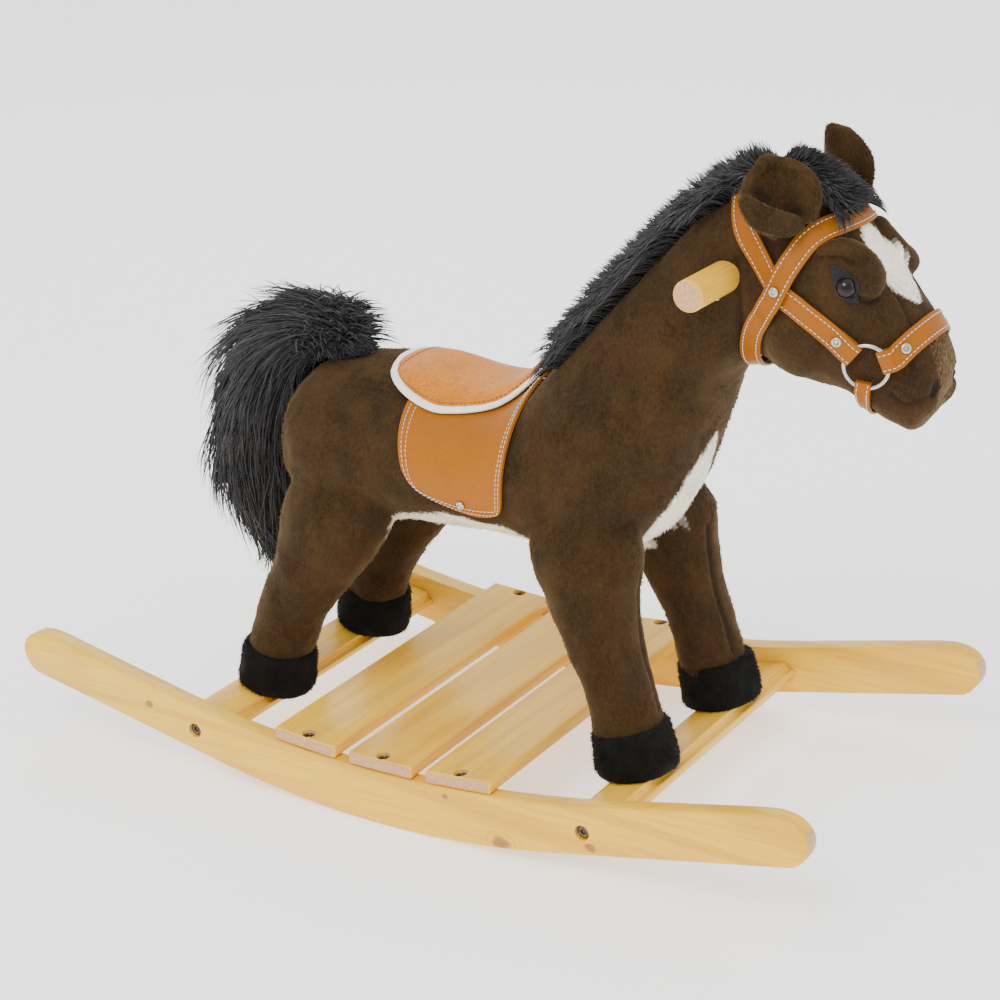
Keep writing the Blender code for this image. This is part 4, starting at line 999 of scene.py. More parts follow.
def numbers_piece(name, points, faces, finish):
    """An object made of arrays of points and of faces with equal counts of corners."""
    mesh = bpy.data.meshes.new(name)
    size = faces.shape[1]
    mesh.vertices.add(len(points))
    mesh.vertices.foreach_set("co", points.astype(np.float32).ravel())
    mesh.loops.add(faces.size)
    mesh.loops.foreach_set("vertex_index", faces.astype(np.int32).ravel())
    mesh.polygons.add(len(faces))
    mesh.polygons.foreach_set("loop_start", np.arange(0, faces.size, size, dtype=np.int32))
    mesh.update(calc_edges=True)
    shape = bmesh.new()
    shape.from_mesh(mesh)
    bmesh.ops.recalc_face_normals(shape, faces=shape.faces)
    shape.to_mesh(mesh)
    shape.free()
    mesh.shade_smooth()
    mesh.materials.append(finish)
    piece = bpy.data.objects.new(name, mesh)
    bpy.context.scene.collection.objects.link(piece)
    return piece


def lay_pile(ways, pull, rise, jitter, clump_scale, spots, random):
    """Ways the tufts lean: along pull on the surface, lifted by rise, bunched and uneven."""
    flat = pull - ways * (pull * ways).sum(1)[:, None]
    flat /= np.linalg.norm(flat, axis=1)[:, None] + 1e-6
    bunch = np.array([noise.noise_vector(Vector(spot) * clump_scale) for spot in spots])
    lean = flat + ways * rise + bunch * 1.1 + random.normal(0, jitter, spots.shape)
    inward = np.minimum((lean * ways).sum(1) - 0.18, 0)
    lean -= ways * inward[:, None]
    return lean / np.linalg.norm(lean, axis=1)[:, None]


cover = covered_tree(COVERED)
for part, count, low_x, high_x, low_z, seed in (
    ("head", 42000, neck - 0.01, 9.0, 0.0, 11), ("trunk", 49000, -9.0, neck - 0.01, 0.235, 12),
    ("legs", 42000, -9.0, 9.0, 0.0, 13),
):
    spots, ways, found, random = mesh_scatter(
        coat.data, count * (3 if part == "head" else 2), seed, ("cream", "rim", "crease_shade_and_nostril"))
    in_part = (spots[:, 0] > low_x) & (spots[:, 0] < high_x) & (spots[:, 2] > low_z)
    if part == "legs":
        in_part = (spots[:, 2] <= 0.235) & (spots[:, 0] < neck)
    bare = np.array([
        cover.ray_cast(Vector(spot) + Vector(way) * 0.0001, Vector(way), PILE_REACH)[0] is not None
        for spot, way in zip(spots, ways)
    ])
    kept = np.flatnonzero(in_part & ~bare & (found["crease_shade_and_nostril"] < 0.5))[:count]
    spots, ways = spots[kept], ways[kept]
    found = {key: values[kept] for key, values in found.items()}
    pull = np.tile((-0.45, 0.0, -1.0), (len(kept), 1))
    if part == "head":
        pull = np.tile((0.45, 0.0, -1.0), (len(kept), 1))
    lean = lay_pile(ways, pull, 0.62, 0.20, 40, spots, random)
    short = 0.70 if part == "head" else 1.0
    lengths = random.uniform(0.0024, 0.0044, len(kept)) * short
    lengths *= 1 - 0.3 * found["rim"]
    pile = grow_tufts(
        "coat_pile_" + part, spots, ways, lean, lengths, random.uniform(0.0008, 0.0013, len(kept)),
        brown_plush, found,
    )
    settle(pile, BODY, "brown_plush")


# ---------------------------------------------------------------- hooves
# Each foot is a stuffed cuff of black pile round the foot of a leg post. It's widest low down,
# and it leans with its leg.

HOOF_LEAN = math.radians(11.2)
# The cuff's reach at shares of its height
HOOF_SWELL = ((0.0, 0.86), (0.06, 0.95), (0.2, 0.985), (0.5, 0.965), (0.8, 0.93), (0.95, 0.91), (1.0, 0.88))
# Black pile, whose third colour is the painted highlight on its tips
black_plush = plush_finish(
    "black_plush_pile", (0.003, 0.003, 0.0025), (0.006, 0.006, 0.005), (0.018, 0.0175, 0.015),
    (0.004, 0.004, 0.0035),
)
black_plush.node_tree.nodes["Principled BSDF"].inputs["Sheen Weight"].default_value = 0.03
black_plush.node_tree.nodes["Principled BSDF"].inputs["Sheen Tint"].default_value = (0.6, 0.6, 0.62, 1)
for end_name in LEGS:
    for side_name, side in SIDES:
        node = "hoof_%s_%s" % (end_name, side_name)
        low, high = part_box(node)
        middle = (low + high) / 2
        slope = math.copysign(math.tan(HOOF_LEAN), 1 if end_name == "front" else -1)
        radius = (high.y - low.y) / 2
        tall = (high.z - low.z) - 2 * radius * abs(slope) * 0.86
        shape = bmesh.new()
        rings = []
        for step in range(15):
            share = step / 14
            shares, swells = zip(*HOOF_SWELL)
            reach = radius * float(np.interp(share, shares, swells))
            ring = []
            for angle in circle_angles(48):
                spot = Vector((reach * math.cos(angle), reach * math.sin(angle), 0))
                base = low.z + radius * abs(slope) * 0.94 + slope * spot.x
                spot += Vector((middle.x - slope * (share - 0.5) * tall, middle.y, base + share * tall))
                ring.append(spot + (spot - middle) * 0.03 * noise.noise(spot * 60))
            rings.append(ring)
        add_loft(shape, rings)
        hoof = new_piece("hoof_cuff_%s_%s" % (end_name, side_name), shape, black_plush)
        round_edges(hoof, 0.0016, 2, 30)
        settle(hoof, BODY, "black_plush", node)
        spots, ways, found, random = mesh_scatter(hoof.data, 9000, 31 + len(end_name) + side)
        off_axis = np.hypot(*(spots - middle)[:, :2].T)
        kept = (ways[:, 2] > -0.5) & ((ways[:, 2] < 0.75) | (off_axis > radius * 0.72))
        spots, ways = spots[kept], ways[kept]
        lean = lay_pile(ways, np.tile((0.0, 0.0, -1.0), (len(spots), 1)), 0.9, 0.28, 60, spots, random)
        # The hooves' tufts get 0.8 of the painted tip highlight
        pile = grow_tufts(
            hoof.name + "_pile", spots, ways, lean, random.uniform(0.0022, 0.0046, len(spots)),
            random.uniform(0.0008, 0.0013, len(spots)), black_plush, {}, 0.8,
        )
        settle(pile, BODY, "black_plush")


# ---------------------------------------------------------------- ears
# Two round ears of doubled plush, cupped, with the outer lobe folded forward over the cup.
# Each is sewn on along its foot and bends there.

EAR_HEIGHT, EAR_WIDTH, EAR_CUP, EAR_WALL = 0.057, 0.060, 0.012, 0.0066
EAR_BASE = Vector((0.317, 0.050, 0.4685))
EAR_LEAN_OUT, EAR_LEAN_BACK, EAR_TURN = math.radians(8), math.radians(20), math.radians(58)


# The outer lobe's roll in the ear's own frame: forward, out to the rear, up, and its radius
EAR_ROLL = (
    (0.0105, 0.0250, 0.0380, 0.0040), (0.0130, 0.0235, 0.0280, 0.0078), (0.0135, 0.0170, 0.0170, 0.0098),
    (0.0125, 0.0080, 0.0090, 0.0100), (0.0095, -0.0010, 0.0035, 0.0082), (0.0060, -0.0060, 0.0000, 0.0050),
)
# The fold between the outer lobe's roll and the leaf, where shade is painted, in the ear's own frame
EAR_CREASE = ((0.004, 0.019, 0.040), (0.005, 0.010, 0.030), (0.005, 0.000, 0.020), (0.004, -0.008, 0.010))
EAR_VOXEL = 0.0015


def ear_spot(across, up):
    """A point of the ear's leaf in its own frame. across runs from -1 to 1."""
    wide = EAR_WIDTH / 2 * (0.40 + 0.60 * math.sin(math.pi * min(up * 0.95 + 0.05, 0.5)))
    round_off = math.sqrt(max(1 - max(up - 0.45, 0) ** 2 / 0.3034, 0.0009))
    droop = 0.10 * EAR_HEIGHT * across**2 * up
    x = EAR_CUP * across**2 * (1 - 0.35 * up)
    dent = math.exp(-((across / 0.5) ** 2)) * math.exp(-(((up - 0.38) / 0.30) ** 2))
    return Vector((x - 0.005 * dent, across * wide * round_off, up * EAR_HEIGHT - droop))


for side_name, side in SIDES:
    turn = Matrix.Rotation(-side * EAR_LEAN_OUT, 4, "X") @ Matrix.Rotation(-EAR_LEAN_BACK, 4, "Y")
    turn = turn @ Matrix.Rotation(side * EAR_TURN, 4, "Z")
    stand = Matrix.Translation(HORSE + Vector((EAR_BASE.x, side * EAR_BASE.y, EAR_BASE.z))) @ turn
    columns, rows = 28, 26
    shape = bmesh.new()
    grid = [
        [
            shape.verts.new(stand @ ear_spot(2 * c / columns - 1, math.sin(math.pi / 2 * r / rows)))
            for c in range(columns + 1)
        ]
        for r in range(rows + 1)
    ]
    for lower, upper in zip(grid, grid[1:]):
        for k in range(columns):
            shape.faces.new((lower[k], lower[k + 1], upper[k + 1], upper[k]))
    ear = new_piece("ear_leaf_" + side_name, shape, brown_plush)
    wall = ear.modifiers.new("wall", "SOLIDIFY")
    wall.thickness = EAR_WALL
    wall.offset = 0
    apply_modifiers(ear)
    shape = bmesh.new()
    shape.from_mesh(ear.data)
    rows = [along(EAR_ROLL, step / 16) for step in range(17)]
    line = [stand @ Vector((x, side * y, z)) for x, y, z, radius in rows]
    add_loft(shape, tube_rings(line, [row[3] for row in rows], count=16))
    bmesh.ops.recalc_face_normals(shape, faces=shape.faces)
    shape.to_mesh(ear.data)
    shape.free()
    remesh = ear.modifiers.new("skin", "REMESH")
    remesh.mode = "VOXEL"
    remesh.voxel_size = EAR_VOXEL
    relax = ear.modifiers.new("relax", "SMOOTH")
    relax.factor = 0.5
    relax.iterations = 6
    apply_modifiers(ear)
    if not ear.data.materials:
        ear.data.materials.append(brown_plush)
    ear.data.shade_smooth()
    ear_places = mesh_numbers(ear.data)[0]
    # Painted shade in the fold between the roll and the leaf
    line = [stand @ Vector((x, side * y, z)) for x, y, z in EAR_CREASE]
    paint(ear.data, "crease_shade_and_nostril", np.exp(-((stroke_distance(ear_places, line) / 0.0045) ** 2)) * 0.75)
    # The ear's plush takes 0.3 of the painted tip highlight
    paint(ear.data, "tip_highlight", np.full(len(ear_places), 0.3))
    body = side_name + "_ear"
    settle(ear, body, "brown_plush", "ear_" + side_name)
    spots, ways, found, random = mesh_scatter(ear.data, 9000, 51 + side, ("crease_shade_and_nostril",))
    middle = np.array(stand @ Vector((0, 0, 0.02)))
    lean = lay_pile(ways, spots - middle, 0.7, 0.20, 50, spots, random)
    pile = grow_tufts(
        "ear_pile_" + side_name, spots, ways, lean, random.uniform(0.0018, 0.0032, len(spots)),
        random.uniform(0.0008, 0.0012, len(spots)), brown_plush, found,
    )
    settle(pile, body, "brown_plush")


# ---------------------------------------------------------------- eyes
# Glossy moulded eyes with a brown iris, pushed through a pointed patch of black felt.

EYE_SPOT = (15.70, 57)
EYE_RADIUS = 0.0078
FELT_FROM, FELT_TO, FELT_MIDDLE, FELT_HALF = 15.12, 16.16, 56, 9.5
FELT_THICKNESS = 0.0012
FELT_DARK, FELT_LIGHT = (0.004, 0.004, 0.004), (0.020, 0.018, 0.017)

felt_black, tree, shader, where = new_finish("black_felt")
fibres = add_noise(tree, where.outputs["Object"], 1400.0, 4.0)
tone = blend_colours(tree, spread(tree, fibres.outputs["Fac"], 0.4, 0.7), FELT_DARK, FELT_LIGHT)
tree.links.new(tone, shader.inputs["Base Color"])
add_relief(tree, shader, fibres.outputs["Fac"], 0.5, 0.0005)
shader.inputs["Roughness"].default_value = 0.95

coat_tree = BVHTree.FromPolygons(
    [v.co.copy() for v in coat.data.vertices], [tuple(p.vertices) for p in coat.data.polygons])


def on_plush(where, degrees, lift):
    """A point on the finished plush, straight out from a place on the coat, and its normal."""
    spot, normal = coat_spot(where, degrees)
    hit, facing, _, _ = coat_tree.ray_cast(spot + normal * 0.02, -normal, 0.04)
    return (spot if hit is None else hit) + normal * lift, (normal if facing is None else facing)


def laid_panel(shape, columns, rows, outline, inner_lift, outer_lift, find=coat_spot):
    """A closed panel on the coat. outline gives a place and an angle for u and v."""
    layers = []
    for lift in (inner_lift, outer_lift):
        layer = []
        for row in range(rows + 1):
            line = []
            for column in range(columns + 1):
                u, v = column / columns, row / rows
                place, degrees = outline(u, v)
                line.append(shape.verts.new(find(place, degrees, lift(u, v))[0]))
            layer.append(line)
        layers.append(layer)
    faces = []
    for layer in layers:
        for near, far in zip(layer, layer[1:]):
            for k in range(columns):
                faces.append(shape.faces.new((near[k], near[k + 1], far[k + 1], far[k])))
    rim = [(0, k) for k in range(columns)] + [(k, columns) for k in range(rows)]
    rim += [(rows, columns - k) for k in range(columns)] + [(rows - k, 0) for k in range(rows)]
    inner, outer = layers
    for (a, b), (c, d) in zip(rim, rim[1:] + rim[:1]):
        faces.append(shape.faces.new((inner[a][b], inner[c][d], outer[c][d], outer[a][b])))
    bmesh.ops.recalc_face_normals(shape, faces=faces)


for side_name, side in SIDES:
    spot, normal = on_plush(EYE_SPOT[0], side * EYE_SPOT[1], 0)
    eye_glass, tree, shader, where = new_finish("glossy_eye_" + side_name)
    pupil = spot + normal * 0.006
    offset = add_node(tree, "VectorMath", {0: where.outputs["Object"], 1: pupil}, operation="DISTANCE")
    reach = offset.outputs["Value"]
    streaks = add_noise(tree, where.outputs["Object"], 800.0, 2.0)
    iris = blend_colours(tree, streaks.outputs["Fac"], (0.006, 0.004, 0.003), (0.022, 0.013, 0.009))
    colour = blend_colours(tree, spread(tree, reach, 0.0034, 0.0040), (0.002, 0.002, 0.002), iris)
    colour = blend_colours(tree, spread(tree, reach, 0.0058, 0.0066), colour, (0.012, 0.010, 0.010))
    tree.links.new(colour, shader.inputs["Base Color"])
    shader.inputs["Roughness"].default_value = 0.10
    shader.inputs["Specular IOR Level"].default_value = 0.28
    dome = [
        (EYE_RADIUS * 1.06, -0.0022, False), (EYE_RADIUS * 1.12, 0.0004, False),
        (EYE_RADIUS * 1.02, 0.0011, False),
    ]
    dome += [
        (EYE_RADIUS * math.cos(a), 0.0010 + EYE_RADIUS * 0.78 * math.sin(a), False)
        for a in (math.pi / 2 * k / 10 for k in range(10))
    ]
    dome.append((0.0003, 0.0010 + EYE_RADIUS * 0.78, False))
    eye = turned_piece("glass_eye_" + side_name, dome, spot, normal, eye_glass, segments=40)
    settle(eye, BODY, "glossy_eye", "eye_" + side_name)

    def felt_outline(u, v, side=side):
        """A leaf that is pointed at both ends."""
        half = FELT_HALF * math.sin(math.pi * min(max(u, 0.03), 0.97)) ** 0.8
        degrees = FELT_MIDDLE + half * (2 * v - 1) + 3 * (u - 0.5)
        return FELT_FROM + (FELT_TO - FELT_FROM) * u, side * degrees

    shape = bmesh.new()
    laid_panel(shape, 16, 10, felt_outline, lambda u, v: -0.0006, lambda u, v: FELT_THICKNESS, on_plush)
    felt = new_piece("eye_felt_" + side_name, shape, felt_black)
    select_only(felt)
    bpy.ops.object.shade_smooth_by_angle(angle=math.radians(50))
    settle(felt, BODY, "black_plush")


# ---------------------------------------------------------------- mane, forelock and tail
# Long black pile. The mane is a brush along the crest that falls to both sides, the forelock
# lies over the brow, and the tail is a bunch sewn on at the rump and free to swing.

black_hair, tree, shader, where = new_finish("black_hair")
# Strands vary at random from near-black to dark grey, and towards their tips the lighter ones get a painted grey
# highlight
strand = mark(tree, "strand")
tone = blend_colours(tree, strand, (0.0028, 0.0026, 0.0026), (0.018, 0.0170, 0.0168))
tip_highlight = maths(tree, "MULTIPLY", mark(tree, "tip_highlight"), strand)
wisps = add_noise(tree, where.outputs["Object"], 240.0, 2.0)
tree.links.new(blend_colours(tree, tip_highlight, tone, (0.062, 0.058, 0.059)), shader.inputs["Base Color"])
tree.links.new(maths(tree, "MULTIPLY_ADD", wisps.outputs["Fac"], 0.3, 0.38), shader.inputs["Roughness"])
shader.inputs["Specular IOR Level"].default_value = 0.35
shader.inputs["Sheen Weight"].default_value = 0.10


def grow_strands(name, body, courses, widths, finish, seed):
    """Long pointed strands with three sides. courses holds each strand's points, root first."""
    random = np.random.default_rng(seed)
    courses = np.asarray(courses)
    count, joints = courses.shape[:2]
    run = np.gradient(courses, axis=1)
    run /= np.linalg.norm(run, axis=2)[:, :, None] + 1e-12
    side = np.cross(run, random.normal(0, 1, (count, 1, 3)))
    side /= np.linalg.norm(side, axis=2)[:, :, None] + 1e-12
    over = np.cross(run, side)
    taper = np.array([1.0, 1.0, 0.95, 0.85, 0.7, 0.45, 0.1])
    taper = np.interp(np.linspace(0, 1, joints), np.linspace(0, 1, 7), taper)
    reach = widths[:, None] / 2 * taper[None]
    rings = [
        courses + (side * math.cos(a) + over * math.sin(a)) * reach[:, :, None] for a in circle_angles(3)
    ]
    points = np.stack(rings, axis=2).reshape(-1, 3)
    quads = []
    for j in range(joints - 1):
        for k in range(3):
            n = (k + 1) % 3
            a, b, c, d = 3 * j + k, 3 * j + n, 3 * j + 3 + n, 3 * j + 3 + k
            quads += [(a, b, c), (a, c, d)]
    quads += [(0, 2, 1), (3 * joints - 3, 3 * joints - 2, 3 * joints - 1)]
    faces = (np.array(quads)[None] + 3 * joints * np.arange(count)[:, None, None]).reshape(-1, 3)
    piece = numbers_piece(name, points, faces, finish)
    paint(piece.data, "strand", np.repeat(random.uniform(0, 1, count) ** 1.6, 3 * joints))
    # Each strand's painted highlight grows from its root to its tip
    paint(piece.data, "tip_highlight", np.tile(np.repeat(np.linspace(0, 1, joints), 3), count))
    settle(piece, body, "black_hair")
    return piece


def hair_core(node, name, shrink, body):
    """The dense heart of a bunch of hair: the CAD form, drawn in and roughened."""
    core = node_copy(node, name)
    select_only(core)
    bpy.ops.object.mode_set(mode="EDIT")
    bpy.ops.mesh.select_all(action="SELECT")
    bpy.ops.mesh.subdivide(number_cuts=2, smoothness=0.4)
    bpy.ops.object.mode_set(mode="OBJECT")
    places, normals = mesh_numbers(core.data)
    rough = np.array([noise.noise(Vector(p) * 90) for p in places])
    places = places - normals * (shrink + 0.0012 * rough)[:, None]
    core.data.vertices.foreach_set("co", places.ravel())
    paint(core.data, "strand", np.full(len(places), 0.05))
    paint(core.data, "tip_highlight", np.zeros(len(places)))
    core.data.shade_smooth()
    core.data.materials.append(black_hair)
    settle(core, body, "black_hair", node)


hair_core("mane", "mane_root", 0.003, BODY)
hair_core("forelock", "forelock_root", 0.0025, BODY)
hair_core("tail", "tail_root", 0.006, "tail")


def crest_strands(first, last, half_width, count, seed, long, forward):
    """Strands along the crest from one place on the coat to another."""
    random = np.random.default_rng(seed)
    courses = []
    for k in range(count):
        place = random.uniform(first, last)
        degrees = float(np.clip(random.normal(0, 0.5), -1, 1))
        ridge, up = coat_spot(place, 0)
        spot, normal = coat_spot(place, degrees * half_width)
        course = (coat_spot(min(place + 0.1, LIPS), 0)[0] - ridge).normalized()
        fade = min(1.0, 0.35 + 4 * (place - first), 0.45 + 4 * (last - place))
        reach = long * random.uniform(0.70, 1.15) * fade * (0.72 + 0.38 * abs(degrees))
        bunch = Vector(noise.noise_vector(spot * 60))
        lean = normal * (0.95 - 0.15 * abs(degrees)) + course * (forward + 0.18 * random.normal())
        lean += bunch * 0.85 + Vector((0, 0.35 * degrees, 0)) + Vector((0, 0.12 * random.normal(), 0))
        lean.normalize()
        line = []
        for j in range(6):
            t = j / 5
            bend = Vector((0, degrees * 0.35, -1.0)) * reach * 0.62 * t**2 * abs(degrees)
            off_coat = normal * max(0.0, 0.0025 + 0.006 * t * abs(degrees))
            root = spot + off_coat - normal * 0.003 * (1 - t)
            line.append(root + lean * reach * t * (1 - 0.35 * t * abs(degrees)) + bend)
        courses.append(line)
    return courses


MANE = crest_strands(8.0, 12.75, 31, 6900, 71, 0.033, -0.35)
widths = np.random.default_rng(72).uniform(0.0010, 0.0019, len(MANE))
grow_strands("mane_hair", BODY, MANE, widths, black_hair, 73)
LOCK = crest_strands(12.7, 14.75, 20, 2600, 81, 0.024, 0.95)
widths = np.random.default_rng(82).uniform(0.0010, 0.0018, len(LOCK))
grow_strands("forelock_hair", BODY, LOCK, widths, black_hair, 83)

# The tail's middle line: x, z, half depth, half width
TAIL_PATH = (
    (-0.1320, 0.3040, 0.0120, 0.0140), (-0.1460, 0.3120, 0.0220, 0.0260),
    (-0.1740, 0.3130, 0.0300, 0.0360), (-0.2080, 0.2920, 0.0380, 0.0440),
    (-0.2330, 0.2480, 0.0400, 0.0460), (-0.2430, 0.1950, 0.0360, 0.0420),
    (-0.2380, 0.1420, 0.0270, 0.0320), (-0.2280, 0.0980, 0.0120, 0.0160),
)


def tail_spot(place, angle, share):
    """A point of the tail: along its middle line, round it, and out from it."""
    x, z, deep, wide = along(TAIL_PATH, place)
    before, after = along(TAIL_PATH, place - 0.03), along(TAIL_PATH, place + 0.03)
    course = Vector((after[0] - before[0], 0, after[1] - before[1])).normalized()
    out = Vector((course.z, 0, -course.x))
    spot = HORSE + Vector((x, share * wide * math.sin(angle), z)) + out * share * deep * math.cos(angle)
    return spot, course


random = np.random.default_rng(91)
TAIL = []
for k in range(4700):
    start = random.uniform(0.0, 0.86)
    angle = random.uniform(0, 2 * math.pi)
    clump = noise.noise(Vector((math.cos(angle) * 2.6, math.sin(angle) * 2.6, start * 8)))
    span = random.uniform(0.15, 0.30) * (1.0 if start > 0.15 else 1.2) * (1 + 0.9 * clump)
    depth = 0.97 - 0.35 * random.uniform() ** 2
    swirl = random.normal(0, 0.22)
    line = []
    for j in range(7):
        t = j / 6
        place = start + span * t
        share = depth - 0.10 + 0.34 * t**1.4 + 0.16 * noise.noise(Vector((angle * 1.6, place * 5, 3.0)))
        spot, course = tail_spot(min(place, 1.0), angle + swirl * t, share)
        if place > 1.0:
            spot += course * (place - 1.0) * 0.10
        bunch = Vector(noise.noise_vector(Vector((angle * 2.2, start * 9, 0.5))))
        line.append(spot + bunch * 0.034 * t**1.5)
    TAIL.append(line)
for k in range(760):
    angle = random.uniform(0, 2 * math.pi)
    spot, course = tail_spot(random.uniform(0.0, 0.26), angle, 0.9)
    lean = Vector((random.uniform(-0.5, 1.0), 0.75 * math.sin(angle), random.uniform(0.2, 0.9))).normalized()
    reach = random.uniform(0.014, 0.034)
    TAIL.append([
        spot + lean * reach * j / 6 + Vector((0.15, 0, -0.4)) * reach * (j / 6) ** 2 for j in range(7)
    ])
widths = np.random.default_rng(92).uniform(0.0010, 0.0022, len(TAIL))
grow_strands("tail_hair", "tail", TAIL, widths, black_hair, 93)

# The dock is a hairy knob on the rump, which the tail swings on.
DOCK_REACH = Vector((0.019, 0.018, 0.015))
dock_centre = HORSE + Vector((TAIL_PATH[0][0], 0, TAIL_PATH[0][1] - 0.004))
shape = bmesh.new()
bmesh.ops.create_uvsphere(shape, u_segments=32, v_segments=20, radius=1)
for vertex in shape.verts:
    vertex.co = dock_centre + vertex.co * DOCK_REACH
dock = new_piece("tail_dock", shape, black_hair)
dock.data.shade_smooth()
settle(dock, BODY, "black_hair")
random = np.random.default_rng(94)
DOCK = []
for k in range(700):
    out = Vector(random.normal(0, 1, 3)).normalized()
    out.z = abs(out.z) * 0.8 - 0.1
    reach = random.uniform(0.005, 0.009)
    DOCK.append([dock_centre + out * DOCK_REACH * 0.9 + out * reach * j / 6 for j in range(7)])
grow_strands("tail_dock_hair", BODY, DOCK, random.uniform(0.0010, 0.0018, len(DOCK)), black_hair, 95)


# ---------------------------------------------------------------- saddle
# A padded seat with a rolled white piping, over two thin flaps with two rows of white
# stitching and a stud each. All of it is grained imitation leather.

LEATHER = (0.70, 0.235, 0.006)
LEATHER_DEEP = (0.30, 0.082, 0.0020)
FLAP_TAN = (0.34, 0.112, 0.0030)
SKIN_GAP = 0.0016
SEAT_FROM, SEAT_TO = 3.62, 7.80
SEAT_BACK_ANGLE, SEAT_MID_ANGLE, SEAT_FRONT_ANGLE = 4, 37, 9
SEAT_ROUND = 0.30  # share of the seat's length that its round back takes
SEAT_THICKNESS, SEAT_EDGE, FLAP_THICKNESS = 0.009, 0.0035, 0.0022
SEAT_LIFT = 2 * SKIN_GAP + FLAP_THICKNESS
STITCH_LENGTH, STITCH_PITCH, STITCH_WIDTH, STITCH_LIFT = 0.0029, 0.0040, 0.00068, 0.0002


def grain_group():
    """Pebbled grain of imitation leather, with fine wrinkles and rubbed patches."""
    tree, start, end = new_group(
        "leather_grain", (("Vector", "Vector", None),),
        (("Pebbles", "Float"), ("Creases", "Float"), ("Rubbed", "Float"), ("Height", "Float")),
    )
    where = start.outputs["Vector"]
    pebbles = add_node(tree, "TexVoronoi", {"Vector": where, "Scale": 620.0})
    creases = add_node(tree, "TexNoise", {"Vector": where, "Scale": 150.0, "Detail": 5.0, "Distortion": 1.6})
    rubbed = add_noise(tree, where, 26.0, 3.0)
    off_middle = maths(tree, "ABSOLUTE", maths(tree, "SUBTRACT", creases.outputs["Fac"], 0.5))
    low_lines = spread(tree, off_middle, 0.0, 0.05)
    height = maths(tree, "MULTIPLY", low_lines, 0.6)
    height = maths(tree, "MULTIPLY_ADD", pebbles.outputs["Distance"], -0.45, height)
    return filled_group(
        tree, end, Height=height, Creases=low_lines,
        Pebbles=spread(tree, pebbles.outputs["Distance"], 0.1, 0.7),
        Rubbed=spread(tree, rubbed.outputs["Fac"], 0.42, 0.68),
    )


LEATHER_GRAIN = grain_group()


def leather_finish(name, colour, deep, roughness):
    material, tree, shader, where = new_finish(name)
    grain = add_node(tree, "Group", {"Vector": where.outputs["Object"]}, node_tree=LEATHER_GRAIN)
    share = maths(tree, "MULTIPLY", maths(tree, "SUBTRACT", 1.0, grain.outputs["Creases"]), 0.45)
    share = maths(tree, "MULTIPLY_ADD", grain.outputs["Pebbles"], 0.22, share)
    tone = blend_colours(tree, share, colour, deep)
    tone = blend_colours(tree, maths(tree, "MULTIPLY", grain.outputs["Rubbed"], 0.35), tone, deep)
    tree.links.new(tone, shader.inputs["Base Color"])
    tree.links.new(
        maths(tree, "MULTIPLY_ADD", grain.outputs["Rubbed"], -0.10, roughness), shader.inputs["Roughness"])
    add_relief(tree, shader, grain.outputs["Height"], 0.35, 0.0004)
    shader.inputs["Specular IOR Level"].default_value = 0.16
    return material


def thread_finish(name, colour, shade):
    """Twisted thread, with its plies as slanting bands."""
    material, tree, shader, where = new_finish(name)
    twist = add_node(tree, "TexWave", {"Vector": where.outputs["Object"], "Scale": 420.0, "Distortion": 1.0})
    twist.bands_direction = "DIAGONAL"
    tree.links.new(blend_colours(tree, twist.outputs["Fac"], shade, colour), shader.inputs["Base Color"])
    add_relief(tree, shader, twist.outputs["Fac"], 0.4, 0.0003)
    shader.inputs["Roughness"].default_value = 0.75
    return material


seat_leather = leather_finish("seat_leatherette", LEATHER, LEATHER_DEEP, 0.46)
flap_leather = leather_finish("flap_leatherette", FLAP_TAN, LEATHER_DEEP, 0.34)
white_thread = thread_finish("white_thread", (0.85, 0.82, 0.76), (0.55, 0.50, 0.44))
red_thread = thread_finish("red_thread", (0.36, 0.085, 0.030), (0.18, 0.040, 0.015))
piping_white = leather_finish("white_piping", (0.95, 0.94, 0.91), (0.80, 0.76, 0.70), 0.5)


def sew(name, spots, outwards, finish, slot, body=BODY):
    """A row of stitches through spots: each is a short rounded stroke of thread."""
    shape = bmesh.new()
    lengths = [0.0]
    for first, second in zip(spots, spots[1:]):
        lengths.append(lengths[-1] + (second - first).length)
    total = lengths[-1]
    stitches = int(total / STITCH_PITCH)

    def at(length):
        k = max(0, min(int(np.searchsorted(lengths, length)) - 1, len(spots) - 2))
        t = (length - lengths[k]) / max(lengths[k + 1] - lengths[k], 1e-9)
        return spots[k].lerp(spots[k + 1], t), outwards[k].lerp(outwards[k + 1], t).normalized()

    for stitch in range(stitches):
        centre = (stitch + 0.5) * total / stitches
        line, ways = zip(*(at(centre + STITCH_LENGTH * share) for share in (-0.5, -0.3, 0.0, 0.3, 0.5)))
        lifts = (-0.0005, 0.0002, 0.0004, 0.0002, -0.0005)
        line = [spot + way * lift for spot, way, lift in zip(line, ways, lifts)]
        radii = [STITCH_WIDTH / 2 * share for share in (0.5, 0.95, 1.0, 0.95, 0.5)]
        add_loft(shape, tube_rings(line, radii, count=6, outwards=list(ways)))
    piece = new_piece(name, shape, finish)
    piece.data.shade_smooth()
    settle(piece, body, slot)


def seat_reach(u):
    """Degrees from the ridge to the seat's edge: a round back, then a long taper."""
    if u < SEAT_ROUND:
        share = math.sqrt(1 - (1 - u / SEAT_ROUND) ** 2)
        return SEAT_BACK_ANGLE + (SEAT_MID_ANGLE - SEAT_BACK_ANGLE) * share
    share = ((u - SEAT_ROUND) / (1 - SEAT_ROUND)) ** 1.1
    return SEAT_MID_ANGLE + (SEAT_FRONT_ANGLE - SEAT_MID_ANGLE) * share


